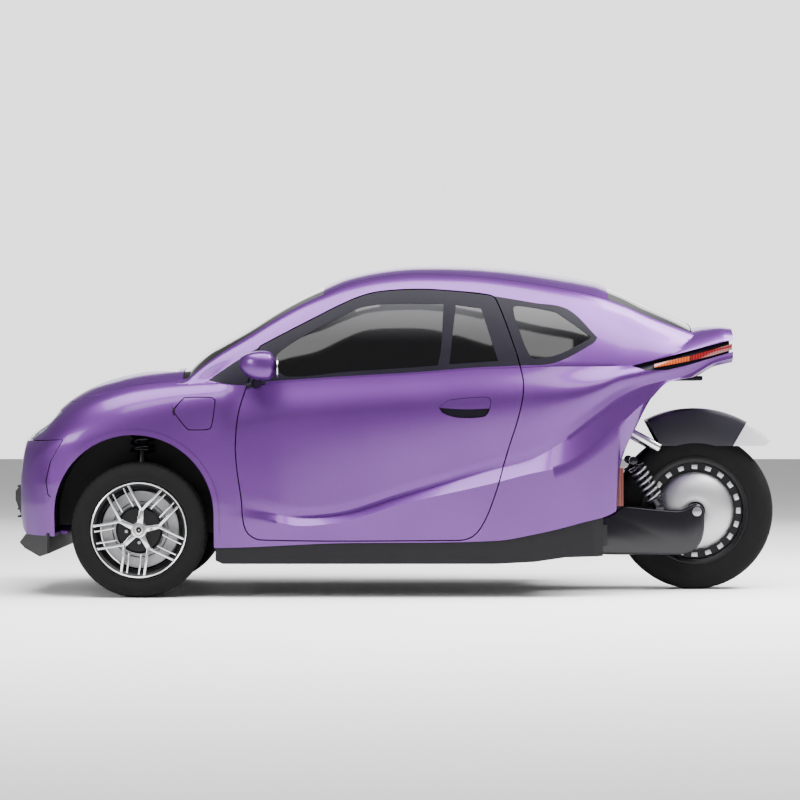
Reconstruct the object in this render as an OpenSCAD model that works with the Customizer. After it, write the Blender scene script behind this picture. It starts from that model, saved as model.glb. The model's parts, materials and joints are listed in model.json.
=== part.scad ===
/* [Body] */
// Width of the body over the shoulders, without the mirrors
body_w = 1440; // [1400:5:1500]
// Thickness of the doors, side walls, hood and roof
wall = 40; // [30:1:46]
// Thickness of a door along its rim, where it is only the outer skin
rim_t = 14; // [10:1:20]
// Gap round each door
gap = 5; // [4:0.5:8]
// Thickness of the window glass
glass_t = 6; // [4:0.5:8]
// Width of the ledge that each fixed window rests on
ledge = 18; // [12:1:24]
// Depth of the tail lamps below the skin
lamp_sink = 12; // [6:1:16]

/* [Front wheels] */
// Distance between the middles of the two front tyres
track = 1270; // [1250:2:1280]
// Radius of a front tyre
front_r = 278; // [270:1:284]
// Width of a front tyre
front_w = 150; // [140:1:156]
// Radius of a front rim over its flange
front_rim_r = 195; // [185:1:202]
// Radius of the circle of wheel bolts
bolt_circle_r = 50; // [46:1:56]
// Radius of a front brake disc
disc_r = 155; // [130:1:158]
// Radius of the stub axle that a front wheel turns on
stub_r = 17; // [14:0.5:20]

/* [Rear wheel] */
// Distance from the front axle to the rear axle
wheelbase = 2331; // [2325:1:2340]
// Radius of the rear tyre
rear_r = 336; // [326:1:338]
// Width of the rear tyre
rear_w = 196; // [180:1:204]
// Radius of the rear rim over its flange
rear_rim_r = 222; // [216:1:232]
// Radius of the hub motor under its cover
motor_r = 150; // [140:1:156]
// Radius of the rear axle
axle_r = 14; // [12:0.5:18]
// Slots in the ring round the hub motor
slots = 20; // [16:1:24]

/* [Front axle] */
// Radius of the steering pivot at the foot of each knuckle
pivot_r = 14; // [11:0.5:16]
// Radius of the suspension strut's tube
strut_r = 22; // [18:1:24]
// Outer radius of the coil spring on a strut
spring_r = 54; // [46:1:58]
// Radius of the bars of the lower arms
arm_r = 12; // [9:1:14]

/* [Chassis] */
// Height of the underside above the ground
clearance = 139; // [130:1:146]
// Thickness of the floor panel
floor_t = 16; // [10:1:22]
// Length of the battery case
battery_l = 1000; // [800:10:1060]
// Width of the battery case
battery_w = 1000; // [800:10:1080]
// Thickness of each side of the swing arm
swing_t = 40; // [30:1:44]
// Radius of the tubes that carry the mudguard
tube_r = 18; // [12:1:20]

/* [Cabin] */
// Width of one front seat
seat_w = 430; // [400:5:470]
// Radius of the steering wheel
wheel_ring_r = 175; // [160:1:185]
// Radius of the steering wheel's grip
grip_r = 13; // [10:0.5:15]

/* [Hidden] */
$fn = 48;
half_w = body_w / 2;
// Clearance between pieces that turn in one another
run = 0.5;
// Gap round the charge flap
flap_gap = 5;
big = 3000;
mid = big / 2;

// Guide lines of the lower body, front to rear: [x, inset from the widest point, z]
sill_line = [
  [-1575, 330, 330], [-1560, 280, 275], [-1535, 215, 254], [-1415, 85, 250], [-1075, 26, 226],
  [-750, 24, 205], [-200, 22, 225], [150, 22, 227], [400, 24, 234], [570, 30, 262],
  [750, 58, 305], [900, 120, 352], [918, 142, 535], [992, 178, 708], [1057, 205, 823],
  [1125, 235, 884], [1243, 280, 909], [1320, 305, 949], [1400, 330, 968]
];
ridge_line = [
  [-1575, 318, 390], [-1560, 255, 385], [-1500, 135, 380], [-1415, 58, 385], [-1075, 8, 400],
  [-670, 12, 330], [-542, 6, 322], [-400, 2, 295], [-268, 0, 305], [30, 0, 388], [391, 0, 470],
  [554, 4, 512], [690, 16, 538], [755, 30, 575], [828, 54, 634], [910, 88, 704],
  [1033, 144, 810], [1197, 212, 892], [1320, 258, 964], [1400, 290, 985]
];
valley_line = [
  [-1575, 316, 420], [-1560, 252, 420], [-1500, 132, 425], [-1415, 55, 430], [-1075, 6, 450],
  [-670, 10, 375], [-542, 12, 350], [-400, 27, 328], [-268, 33, 335], [30, 38, 419], [391, 44, 528],
  [554, 48, 569], [710, 54, 663], [755, 60, 700], [828, 76, 753], [910, 102, 816],
  [1033, 152, 872], [1197, 214, 909], [1320, 258, 976], [1400, 289, 998]
];
crease_line = [
  [-1575, 315, 440], [-1560, 250, 450], [-1500, 130, 465], [-1415, 52, 470], [-1075, 4, 500],
  [-670, 9, 420], [-542, 9, 382], [-400, 20, 339], [-268, 25, 350], [30, 28, 440], [391, 32, 554],
  [554, 36, 607], [710, 47, 712], [755, 54, 749], [828, 71, 802], [910, 98, 851],
  [1033, 148, 888], [1197, 211, 925], [1320, 256, 990], [1400, 287, 1010]
];
shoulder_line = [
  [-1575, 315, 465], [-1560, 250, 500], [-1500, 128, 560], [-1430, 66, 600], [-1300, 20, 630],
  [-1075, 0, 650], [-751, 6, 655], [-563, 6, 705], [-400, 3, 728], [10, 0, 760], [337, 2, 785],
  [664, 18, 815], [755, 36, 832], [828, 58, 856], [910, 88, 892], [1033, 140, 920],
  [1197, 205, 962], [1320, 250, 1016], [1400, 280, 1035]
];
belt_line = [
  [-1575, 330, 500], [-1562, 285, 570], [-1545, 245, 612], [-1468, 165, 668], [-1382, 115, 742],
  [-1219, 84, 818], [-1060, 74, 856], [-866, 62, 872], [-737, 52, 876], [-620, 45, 864],
  [-481, 42, 880], [-203, 38, 900], [92, 36, 917], [305, 37, 935], [505, 45, 941],
  [651, 62, 947], [828, 105, 948], [979, 152, 953], [1104, 195, 989], [1248, 235, 1031],
  [1350, 262, 1056], [1400, 282, 1064]
];
// Height of the middle of the hood and of the rear deck: [x, z]
deck_line = [
  [-1575, 515], [-1570, 575], [-1558, 615], [-1541, 638], [-1507, 668], [-1438, 711],
  [-1403, 750], [-1369, 784], [-1300, 827], [-1231, 857], [-1162, 879], [-1093, 892],
  [-990, 900], [-870, 905], [-700, 880], [0, 850], [800, 860], [1000, 950],
  [1150, 1060], [1240, 1112], [1285, 1114], [1354, 1099], [1400, 1083]
];
// Guide lines of the cabin: drip line over the side windows, roof seam, and the crown [x, z]
drip_line = [
  [-866, 66, 872], [-778, 72, 889], [-704, 84, 946], [-596, 103, 1016], [-453, 122, 1094],
  [-325, 142, 1159], [-232, 152, 1208], [-138, 160, 1247], [-44, 164, 1262], [93, 166, 1269],
  [259, 169, 1260], [395, 173, 1243], [560, 180, 1216], [705, 192, 1191], [839, 209, 1152],
  [1005, 226, 1080], [1168, 246, 1038], [1280, 262, 1030]
];
seam_line = [
  [-905, 92, 862], [-866, 98, 896], [-749, 122, 988], [-618, 152, 1071], [-487, 175, 1154],
  [-388, 195, 1208], [-310, 209, 1244], [-206, 224, 1290], [-73, 233, 1320], [93, 238, 1333],
  [276, 240, 1326], [435, 248, 1310], [627, 262, 1282], [820, 282, 1244], [946, 296, 1201],
  [1057, 310, 1153], [1194, 325, 1103], [1280, 336, 1075]
];
crown_line = [
  [-905, 900], [-866, 922], [-749, 1000], [-618, 1085], [-487, 1168], [-388, 1224], [-310, 1266],
  [-231, 1310], [-93, 1349], [10, 1366], [217, 1375], [424, 1370], [630, 1349], [837, 1314],
  [872, 1301], [1044, 1224], [1217, 1146], [1280, 1105]
];
lower_x = [
  -1575, -1568, -1558, -1541, -1510, -1470, -1430, -1380, -1310, -1220, -1090, -980, -870, -750,
  -670, -600, -542, -470, -400, -330, -268, -130, 30, 200, 391, 480, 554, 630, 690, 755, 790, 828,
  865, 900, 918, 950, 992, 1057, 1125, 1197, 1243, 1285, 1320, 1360, 1400
];
upper_x = [
  -905, -866, -810, -749, -680, -618, -550, -487, -388, -310, -231, -160, -93, 10, 110, 217, 320,
  424, 530, 630, 730, 837, 872, 946, 1044, 1130, 1217, 1280
];

// Outlines seen from the side: [x, z]
door_edge = [
  [-617, 863], [-648, 757], [-660, 630], [-655, 536], [-636, 401], [-628, 311], [-606, 262],
  [-556, 240], [200, 238], [290, 246], [340, 292], [390, 405], [451, 610], [496, 757], [513, 863],
  [501, 945], [468, 1056], [405, 1224], [380, 1242], [250, 1257], [93, 1266], [-60, 1258], [-140, 1241],
  [-230, 1204], [-325, 1156], [-450, 1091], [-565, 1030]
];
glass_band = [
  [-778, 890], [-690, 874], [-617, 871], [-538, 886], [-203, 908], [92, 925], [305, 942], [501, 951],
  [645, 962], [806, 1043], [826, 1068], [705, 1186], [560, 1213], [395, 1240], [250, 1257],
  [93, 1266], [-60, 1258], [-140, 1241], [-230, 1204], [-325, 1156], [-450, 1091], [-596, 1012],
  [-704, 942]
];
belt_cut = [
  [-900, 874], [-617, 871], [-538, 886], [-203, 908], [92, 925], [305, 942], [501, 951], [700, 960],
  [700, 1500], [-900, 1500]
];
front_pane = [
  [-440, 905], [-203, 926], [40, 942], [165, 952], [178, 1020], [190, 1206], [-30, 1208],
  [-150, 1192], [-240, 1150], [-380, 1078], [-470, 1020], [-500, 985], [-490, 930]
];
vent_pane = [[212, 956], [412, 970], [345, 1188], [240, 1203]];
quarter_pane = [[553, 978], [660, 995], [798, 1068], [662, 1172], [478, 1206]];
bumper_edge = [
  [-1700, 60], [-1700, 640], [-1500, 640], [-1372, 646], [-1425, 560], [-1445, 480], [-1436, 420],
  [-1380, 380], [-1380, 60]
];
fender_edge = [
  [-1700, 60], [-1700, 900], [-905, 888], [-778, 886], [-690, 864], [-600, 863], [-600, 290],
  [-628, 280], [-628, 60]
];
lamp_side = [[-1620, 628], [-1372, 646], [-1330, 700], [-1400, 772], [-1540, 690]];
lamp_plan = [
  [-1560, half_w - 485], [-1430, half_w - 385], [-1340, half_w - 175], [-1300, half_w + 40],
  [-1620, half_w + 40]
];
tail_lamp_edge = [
  [966, 951], [1349, 1050], [1500, 1086], [1500, 1040], [1340, 994], [1195, 952], [1112, 933],
  [1026, 932]
];
flap_edge = [
  [-912, 765], [-875, 820], [-760, 820], [-742, 798], [-758, 722], [-788, 688], [-858, 686],
  [-905, 735]
];
hood_plan = [
  [-1545, 0], [-1538, half_w - 500], [-1425, half_w - 390], [-1330, half_w - 175], [-1219, half_w - 114],
  [-1060, half_w - 102], [-905, half_w - 90], [-905, 0]
];
rear_edge = [[870, 300], [870, 860], [960, 900], [1235, 985], [1235, 1400], [1500, 1400], [1500, 300]];

// Windscreen, roof and rear window along x
screen_x = [-880, -306];
roof_x = [-306, 880];
back_x = [880, 1228];
seam_in = 8;

// Front axle: places on the right side
front_x = -1058;
rear_x = front_x + wheelbase;
wheel_y = track / 2;
arch_x = -1080;
arch_z = 338;
arch_r = 329;
well_r = 350;
well_y = wheel_y - 235;
well_x = -1064;
foot = [front_x, wheel_y - 65, 165];
top = [front_x, wheel_y - 165, 790];
lean = atan2(foot[1] - top[1], top[2] - foot[2]);
strut_l = norm(top - foot);

// Floor and rear unit
floor_y = half_w - 101;
floor_z = 228;
rear_z = rear_r;
arm_y = 136;
pivot = [830, 236];
guard_y = 112;
guard_t = 10;
guard_r = 440;
guard_turn = [60, 118];
band_turn = [43, 60];

// Hinges and pivots
step_x = 740;
door_hinge = [-662.5, half_w - 9];
door_levels = [540, 680];
flap_hinge = [-914, half_w - 13];
flap_levels = [750];
hinge_h = 30;
pin_r = 2.2;
barrel_r = 5;
column_at = [-330, -300, 770];
column_tilt = 65;
inlet_at = [-828, 755];
inlet_r = 22;

// Slopes and heights of a guide line by monotone cubics
function row(t, x) = max(concat([0], [for (i = [0 : len(t) - 2]) if (t[i][0] <= x) i]));
function rise(t, i, c) = (t[i + 1][c] - t[i][c]) / (t[i + 1][0] - t[i][0]);
function slope(t, i, c) =
  i == 0 ? rise(t, 0, c)
  : i == len(t) - 1 ? rise(t, i - 1, c)
  : let (a = rise(t, i - 1, c), b = rise(t, i, c)) a * b <= 0 ? 0 : 2 * a * b / (a + b);
function blend(p, q, m, n, u) =
  (1 + 2 * u) * (1 - u) * (1 - u) * p + u * (1 - u) * (1 - u) * m
  + u * u * (3 - 2 * u) * q - u * u * (1 - u) * n;
function along(t, x, c) =
  let (
    i = row(t, x),
    h = t[i + 1][0] - t[i][0],
    u = min(1, max(0, (x - t[i][0]) / h))
  )
  blend(t[i][c], t[i + 1][c], slope(t, i, c) * h, slope(t, i + 1, c) * h, u);
function out_y(t, x) = half_w - along(t, x, 1);
function guide(t, x, e) = [out_y(t, x) - e, along(t, x, 2)];
function unit(v) = v / max(0.001, norm(v));
function bend(a, b, c) = unit(unit(b - a) + unit(c - b));
function arc(p, q, m, n, k) =
  let (l = norm(q - p)) [for (i = [1 : k]) blend(p, q, m * l, n * l, i / k)];

// Smooth step from 0 at a to 1 at b
function ramp(x, a, b) = let (u = min(1, max(0, (x - a) / (b - a)))) u * u * (3 - 2 * u);

// Half of a section through the lower body, sill to middle, moved in by e
function lower_half(x, e) =
  let (
    s0 = along(sill_line, x, 2),
    s = [out_y(sill_line, x) - e, e == 0 ? s0 : e + max(s0, along(sill_line, x + e, 2))],
    r = guide(ridge_line, x, e),
    v = guide(valley_line, x, e),
    c = guide(crease_line, x, e),
    m = guide(shoulder_line, x, e),
    b = guide(belt_line, x, e) - [0, 0.7 * e],
    d = [0, along(deck_line, x, 1) - e],
    r1 = [r[0], max(r[1], s[1] + 2)],
    v1 = [v[0], max(v[1], r1[1] + 2)],
    c1 = [c[0], max(c[1], v1[1] + 2)],
    m1 = [m[0], max(m[1], c1[1] + 2)],
    b1 = [b[0], max(b[1], m1[1] + 2)],
    d1 = [0, max(d[1], s[1] + 12)],
    k = ramp(x, -760, -640) - ramp(x, 860, 1000),
    t = bend(m1, b1, d1),
    t0 = unit((1 - k) * t + k * unit(b1 - m1)),
    t1 = unit((1 - k) * t + k * unit(d1 - b1))
  )
  concat(
    [s, (s + r1) / 2 + [1, 0], r1, v1, c1],
    arc(c1, m1, unit(m1 - c1), [0, 1], e > rim_t ? 2 : 3),
    arc(m1, b1, [0, 1], t0, e > rim_t ? 2 : 3),
    arc(b1, d1, t1, [-1, 0], e > rim_t ? 3 : 6)
  );

// Half of a section through the cabin, belt to crown, moved in by e
function upper_half(x, e) =
  let (
    floor_z = e + max(along(sill_line, x, 2), along(sill_line, x + e, 2)) + 6,
    w = guide(belt_line, x, e) - [6, 0],
    a = [w[0], e == 0 ? w[1] - 50 : min(w[1] - 20, max(w[1] - 200, floor_z))],
    p = guide(drip_line, x, e),
    q = guide(seam_line, x, 0.8 * e) - [0, 0.7 * e],
    c = [0, along(crown_line, x, 1) - e],
    w1 = [w[0], max(w[1], a[1] + 2)],
    p1 = [p[0], max(p[1], w1[1] + 4)],
    q1 = [q[0], max(q[1], p1[1] + 2)],
    c1 = [0, max(c[1], q1[1] + 1)],
    t = bend(w1, p1, q1),
    f = bend(p1, q1, c1)
  )
  concat(
    [a, w1],
    arc(w1, p1, unit(unit(p1 - w1) + [0, 0.5]), t, e > rim_t ? 2 : 4),
    arc(p1, q1, t, f, e > rim_t ? 2 : 3),
    arc(q1, c1, f, [-1, 0], e > rim_t ? 3 : 5)
  );

// Solid through sections at each x of a list
module loft(xs, sections) {
  n = len(sections[0]);
  points = [for (i = [0 : len(xs) - 1]) for (p = sections[i]) [xs[i], p[0], p[1]]];
  last = (len(xs) - 1) * n;
  sides = [
    for (i = [0 : len(xs) - 2]) for (j = [0 : n - 1])
      let (a = i * n + j, b = i * n + (j + 1) % n)
        for (f = 2 * j < n - 1 ? [[a, a + n, b + n], [a, b + n, b]] : [[a, a + n, b], [a + n, b + n, b]]) f
  ];
  front = [[for (j = [0 : n - 1]) j]];
  rear = [[for (j = [n - 1 : -1 : 0]) last + j]];
  polyhedron(points, concat(sides, front, rear), convexity = 8);
}

function whole(h) =
  concat(h, [for (i = [len(h) - 2 : -1 : 0]) [-h[i][0], h[i][1]]]);

// Stations moved in by e from both ends, every other one for the inner faces but for the steep tail
function stations(all, e) =
  let (
    x0 = all[0] + e,
    x1 = all[len(all) - 1] - e,
    keep = [
      for (i = [0 : len(all) - 1])
        if (e <= rim_t || i % 2 == 0 || (all[i] > 740 && all[i] < 1000)) all[i]
    ]
  )
  concat([x0], [for (x = keep) if (x > x0 + 1 && x < x1 - 1) x], [x1]);

module lower_solid(e) {
  xs = stations(lower_x, e);
  loft(xs, [for (x = xs) whole(lower_half(x, e))]);
}

module upper_solid(e) {
  xs = stations(upper_x, e);
  loft(xs, [for (x = xs) whole(upper_half(x, e))]);
}

module body_solid(e) {
  union() {
    lower_solid(e);
    upper_solid(e);
  }
}

module skin(t) {
  difference() {
    body_solid(0);
    body_solid(t);
  }
}

// Prism seen from the side, from y0 to y1, and prism seen from above
module side_prism(y0 = 0, y1 = mid) {
  translate([0, y1, 0]) rotate([90, 0, 0]) linear_extrude(y1 - y0) children();
}

module plan_prism(z0, z1) {
  translate([0, 0, z0]) linear_extrude(z1 - z0) children();
}

module one_mesh() {
  resize([0, 0, 0]) children();
}

module left() {
  mirror([0, 1, 0]) children();
}

function span(a, b, n) = [for (i = [0 : n]) a + (b - a) * i / n];

// Strip of the plan inside a guide line, between two x
module plan_band(t, x0, x1, inset) {
  xs = span(x0, x1, 16);
  polygon(concat(
    [for (x = xs) [x, out_y(t, x) - inset]],
    [for (i = [16 : -1 : 0]) [xs[i], -out_y(t, xs[i]) + inset]]
  ));
}

module top_band(ends, inset) {
  plan_band(seam_line, ends[0] + inset, ends[1] - inset, seam_in + inset);
}

module screen_cut() {
  difference() {
    plan_prism(860, big) top_band(screen_x, 0);
    body_solid(glass_t);
  }
  plan_prism(600, big) top_band(screen_x, ledge);
}

module back_cut() {
  difference() {
    plan_prism(990, big) top_band(back_x, 0);
    body_solid(glass_t);
  }
  plan_prism(985, big) top_band(back_x, ledge);
}

module arch_cut() {
  side_prism(well_y, mid) {
    translate([arch_x, arch_z]) circle(r = arch_r);
    translate([arch_x - arch_r, 0]) square([2 * arch_r, arch_z]);
  }
}

module hood_cut() {
  plan_prism(600, 930) {
    polygon(hood_plan);
    mirror([0, 1]) polygon(hood_plan);
  }
}

module lamp_cut() {
  intersection() {
    side_prism() polygon(lamp_side);
    plan_prism(500, 900) polygon(lamp_plan);
  }
}

module door_cut() {
  side_prism(200) offset(delta = gap) polygon(door_edge);
}

module flap_cut(inset) {
  side_prism(200) offset(delta = -inset) polygon(flap_edge);
}

module rear_cut() {
  intersection() {
    side_prism(-mid, mid) polygon(rear_edge);
    plan_prism(0, big) plan_band(sill_line, 860, 1460, wall + 10);
  }
}

// Painted panels
module hood() {
  one_mesh() difference() {
    intersection() {
      lower_skin();
      hood_cut();
    }
    side_prism(-mid, mid) polygon(bumper_edge);
    lamp_cut();
    left() lamp_cut();
  }
}

module lower_skin() {
  difference() {
    lower_solid(0);
    body_solid(wall);
  }
}

module bumper() {
  one_mesh() difference() {
    intersection() {
      lower_skin();
      side_prism(-mid, mid) polygon(bumper_edge);
    }
    arch_cut();
    left() arch_cut();
  }
}

module fender() {
  one_mesh() {
    difference() {
      intersection() {
        skin(wall);
        side_prism(well_y) polygon(fender_edge);
      }
      side_prism() polygon(bumper_edge);
      hood_cut();
      lamp_cut();
      arch_cut();
      door_cut();
      screen_cut();
      translate([-1700, 0, 0]) cube([1200, half_w - 30 - wall, 290]);
      hinge_place(door_hinge, door_levels) barrel_room();
    }
    hinge_place(door_hinge, door_levels) hinge_post();
  }
}

// The fender with the opening for the charge flap
module fender_open() {
  one_mesh() difference() {
    fender();
    side_prism(200) polygon(flap_edge);
    translate([flap_hinge[0] - 7, 200, flap_levels[0] - hinge_h / 2 - 14])
      cube([16, mid, hinge_h + 28]);
  }
}

module side() {
  one_mesh() difference() {
    intersection() {
      skin(wall);
      side_prism() polygon([[-905, 888], [-778, 886], [-690, 864], [-600, 863], [-600, 290],
        [-628, 280], [-628, 60], [1500, 60], [1500, 1500], [-905, 1500]]);
    }
    door_cut();
    side_prism(200) polygon(glass_band);
    screen_cut();
    back_cut();
    plan_prism(900, big) top_band(roof_x, 0);
    rear_cut();
    side_prism(-1, mid) polygon(tail_lamp_edge);
    translate([-700, -1, 0]) cube([700 + step_x, floor_y + 1, 345]);
  }
}

module roof() {
  one_mesh() difference() {
    intersection() {
      skin(wall);
      plan_prism(900, big) top_band(roof_x, 0);
    }
  }
}

module rear_panel() {
  one_mesh() difference() {
    intersection() {
      lower_skin();
      rear_cut();
    }
    side_prism(-mid, mid) polygon(tail_lamp_edge);
    back_cut();
  }
}

// Windows, frames and doors
module pane_cut(p) {
  difference() {
    side_prism(200) polygon(p);
    body_solid(glass_t);
  }
  side_prism(200) offset(delta = -ledge) polygon(p);
}

module windscreen() {
  one_mesh() intersection() {
    skin(glass_t);
    plan_prism(860, big) top_band(screen_x, 0);
  }
}

module back_window() {
  one_mesh() intersection() {
    skin(glass_t);
    plan_prism(990, big) top_band(back_x, 0);
  }
}

module window_trim() {
  one_mesh() difference() {
    intersection() {
      skin(wall);
      side_prism(200) polygon(glass_band);
    }
    door_cut();
    pane_cut(quarter_pane);
  }
}

module quarter_glass() {
  one_mesh() intersection() {
    skin(glass_t);
    side_prism(200) polygon(quarter_pane);
  }
}

module door_shape() {
  difference() {
    union() {
      intersection() {
        skin(rim_t);
        side_prism(200) polygon(door_edge);
      }
      intersection() {
        skin(wall);
        side_prism(200) offset(delta = -22) polygon(door_edge);
      }
    }
    translate([-mid / 2, 0, 0]) cube([mid, half_w - 24 - wall, 300]);
  }
}

// A hinge stands on z: the pin and two lugs stay, the barrel between them moves
module hinge_place(at, levels) {
  for (z = levels) translate([at[0], at[1], z]) children();
}

module hinge_post() {
  translate([0, 0, -hinge_h / 2 - 10]) cylinder(r = pin_r, h = hinge_h + 20, $fn = 12);
  for (z = [-hinge_h / 2 - 12, hinge_h / 2 + 2])
    translate([0, 0, z]) cylinder(r = barrel_r, h = 10, $fn = 12);
}

module hinge_barrel() {
  difference() {
    translate([0, 0, -hinge_h / 2]) union() {
      cylinder(r = barrel_r, h = hinge_h, $fn = 12);
      translate([0, -barrel_r, 0]) cube([14, barrel_r, hinge_h]);
    }
    cylinder(r = pin_r + run, h = 2 * hinge_h, center = true, $fn = 12);
  }
}

module barrel_room() {
  cylinder(r = barrel_r + 1, h = hinge_h + 2, center = true, $fn = 12);
  translate([0, -barrel_r - 1, -hinge_h / 2 - 1]) cube([15, barrel_r + 2, hinge_h + 2]);
}

module lug_room() {
  for (z = [-hinge_h / 2 - 13, hinge_h / 2 + 1]) translate([0, 0, z]) cylinder(r = barrel_r + 1, h = 12, $fn = 12);
}

handle_box = [[169, 738], [382, 730], [378, 822], [172, 826]];
handle_bar = [[169, 775], [382, 770], [382, 796], [169, 801]];

module door() {
  one_mesh() {
    difference() {
      door_shape();
      side_prism(200) polygon(belt_cut);
      difference() {
        side_prism(200) polygon(handle_box);
        body_solid(wall / 2);
      }
      hinge_place(door_hinge, door_levels) lug_room();
    }
    hinge_place(door_hinge, door_levels) hinge_barrel();
  }
}

module door_handle() {
  one_mesh() intersection() {
    skin(rim_t);
    side_prism(200) polygon(handle_bar);
    side_prism(200) polygon(handle_box);
  }
}

module door_frame() {
  one_mesh() difference() {
    intersection() {
      door_shape();
      side_prism(200) polygon(belt_cut);
    }
    pane_cut(front_pane);
    pane_cut(vent_pane);
  }
}

module door_glass() {
  one_mesh() intersection() {
    skin(glass_t);
    side_prism(200) {
      polygon(front_pane);
      polygon(vent_pane);
    }
  }
}

pod = [[-600, 790, 950, 40], [-505, 800, 952, 56], [-505, 850, 950, 40]];
pod_foot = [[-560, 770, 915, 18], [-575, 670, 868, 16]];

module mirror_pod() {
  one_mesh() difference() {
    union() {
      hull() for (p = pod) translate([p[0], half_w - 720 + p[1], p[2]]) sphere(p[3], $fn = 16);
      hull() for (p = pod_foot) translate([p[0], half_w - 720 + p[1], p[2]]) sphere(p[3], $fn = 12);
    }
    body_solid(0);
    side_prism(0, half_w - 40) square([big, big], center = true);
  }
}

// Lamps, grille and skirts
module headlamps() {
  one_mesh() for (k = [0, 1]) mirror([0, k, 0]) difference() {
    intersection() {
      lower_skin();
      lamp_cut();
    }
    side_prism() polygon(bumper_edge);
  }
}

module tail_lamps() {
  one_mesh() intersection() {
    difference() {
      body_solid(lamp_sink);
      body_solid(wall);
    }
    side_prism(-mid, mid) polygon(tail_lamp_edge);
  }
}

module marker_strips() {
  one_mesh() for (k = [0, 1]) mirror([0, k, 0]) difference() {
    translate([905, half_w - 158, 372]) cube([26, 24, 158]);
    body_solid(0);
  }
}

module grille() {
  one_mesh() difference() {
    hull() {
      for (b = [[-1610, 420, 390, 36], [-1560, 330, 285, 195]])
        translate([b[0], b[1] - half_w, b[2]]) cube([4, 2 * (half_w - b[1]), b[3]]);
    }
    body_solid(0);
  }
}

lip_edge = [[-1590, 212], [-1545, 262], [-1430, 262], [-1430, 180], [-1480, 162], [-1560, 190]];

module front_lip() {
  one_mesh() difference() {
    intersection() {
      side_prism(-half_w, half_w) polygon(lip_edge);
      plan_prism(0, 400) hull() {
        for (b = [[-1590, 390], [-1440, 90]]) translate([b[0], b[1] - half_w]) square([10, 2 * (half_w - b[1])]);
      }
    }
    body_solid(0);
  }
}

module skirts() {
  xs = span(-745, 905, 22);
  foot_edge = [[905, clearance + 34], [820, clearance + 28], [690, clearance + 26],
    [560, clearance + 8], [400, clearance], [-715, clearance], [-745, clearance + 14]];
  one_mesh() for (k = [0, 1]) mirror([0, k, 0]) difference() {
    intersection() {
      side_prism(floor_y) polygon(concat([for (x = xs) [x, along(sill_line, x, 2) + 4]], foot_edge));
      plan_prism(0, 500) plan_band(sill_line, -760, 910, 5);
    }
    body_solid(0);
  }
}

module floor_pan() {
  top_z = along(sill_line, step_x, 2) - 0.5;
  translate([-705, -floor_y, floor_z]) cube([705 + step_x, 2 * floor_y, floor_t]);
  translate([step_x, -floor_y + 60, floor_z]) cube([floor_t, 2 * floor_y - 120, top_z - floor_z]);
}

module battery_pack() {
  h = floor_z - clearance - 6;
  translate([-480, -battery_w / 2, floor_z - h]) cube([battery_l, battery_w, h]);
}

module wheel_liners() {
  one_mesh() for (k = [0, 1]) mirror([0, k, 0]) difference() {
    intersection() {
      union() {
        side_prism(well_y, half_w) difference() {
          liner_face(4);
          liner_face(0);
        }
        side_prism(well_y, well_y + 4) difference() {
          liner_face(0);
          translate([front_x - 170, 0]) square([340, arch_z]);
        }
      }
      body_solid(wall);
    }
    strut_place() cylinder(r = spring_r + 14, h = strut_l + 60);
  }
}

module liner_face(e) {
  intersection() {
    union() {
      translate([well_x, arch_z]) circle(r = well_r + e);
      translate([well_x - well_r - e, 255]) square([2 * (well_r + e), arch_z - 255]);
    }
    translate([-1500, 255]) square([1000, 600]);
  }
}

// Cabin
module dashboard() {
  dash_y = half_w - 120;
  translate([-705, -dash_y, floor_z + floor_t]) cube([15, 2 * dash_y, 590]);
  side_prism(-dash_y, dash_y) polygon([[-690, 640], [-470, 660], [-440, 720], [-450, 800], [-560, 850], [-690, 834]]);
  column_place() difference() {
    translate([0, 0, -150]) cylinder(r = 26, h = 112);
    translate([0, 0, -130]) cylinder(r = 15 + run, h = 200);
  }
}

module column_place() {
  translate(column_at) rotate([0, column_tilt, 0]) children();
}

module steering_wheel() {
  column_place() {
    rotate_extrude($fn = 64) translate([wheel_ring_r, 0]) circle(r = grip_r, $fn = 24);
    translate([0, 0, -30]) cylinder(r = 42, h = 42);
    translate([0, 0, -102]) cylinder(r = 15, h = 82);
    for (a = [90, 210, 330]) rotate([0, 0, a]) translate([0, -14, -8]) cube([wheel_ring_r, 28, 12]);
  }
}

module seat() {
  y0 = 110;
  one_mesh() translate([0, y0, 0]) {
    translate([40, 60, floor_z + floor_t]) cube([330, seat_w - 120, 80]);
    hull() for (p = [[0, 350, 44], [0, 410, 44], [380, 350, 44], [380, 370, 44]])
      for (y = [p[2], seat_w - p[2]]) translate([p[0], y, p[1]]) sphere(p[2], $fn = 10);
    hull() for (p = [[400, 400, 40], [520, 860, 34]])
      for (y = [p[2], seat_w - p[2]]) translate([p[0], y, p[1]]) sphere(p[2], $fn = 10);
    hull() for (y = [seat_w / 2 - 80, seat_w / 2 + 80]) translate([540, y, 965]) sphere(42, $fn = 10);
    for (y = [seat_w / 2 - 50, seat_w / 2 + 50]) translate([527, y, 880]) cylinder(r = 7, h = 60, $fn = 10);
  }
}

module rear_bench() {
  one_mesh() {
    translate([590, 320 - half_w, floor_z + floor_t]) cube([120, 2 * (half_w - 320), 150]);
    hull() for (p = [[590, 390], [590, 430], [780, 416], [780, 434]])
      for (y = [240 - half_w, half_w - 240]) translate([p[0], y, p[1]]) sphere(36, $fn = 10);
    hull() for (p = [[795, 440, 32], [830, 760, 27]])
      for (y = [250 - half_w, half_w - 250]) translate([p[0], y, p[1]]) sphere(p[2], $fn = 10);
  }
}

// Front axle, right side
module rod(a, b, r) {
  d = b - a;
  translate(a) rotate([0, acos(d[2] / norm(d)), atan2(d[1], d[0])]) cylinder(r = r, h = norm(d));
}

module strut_place() {
  translate(foot) rotate([lean, 0, 0]) children();
}

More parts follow.
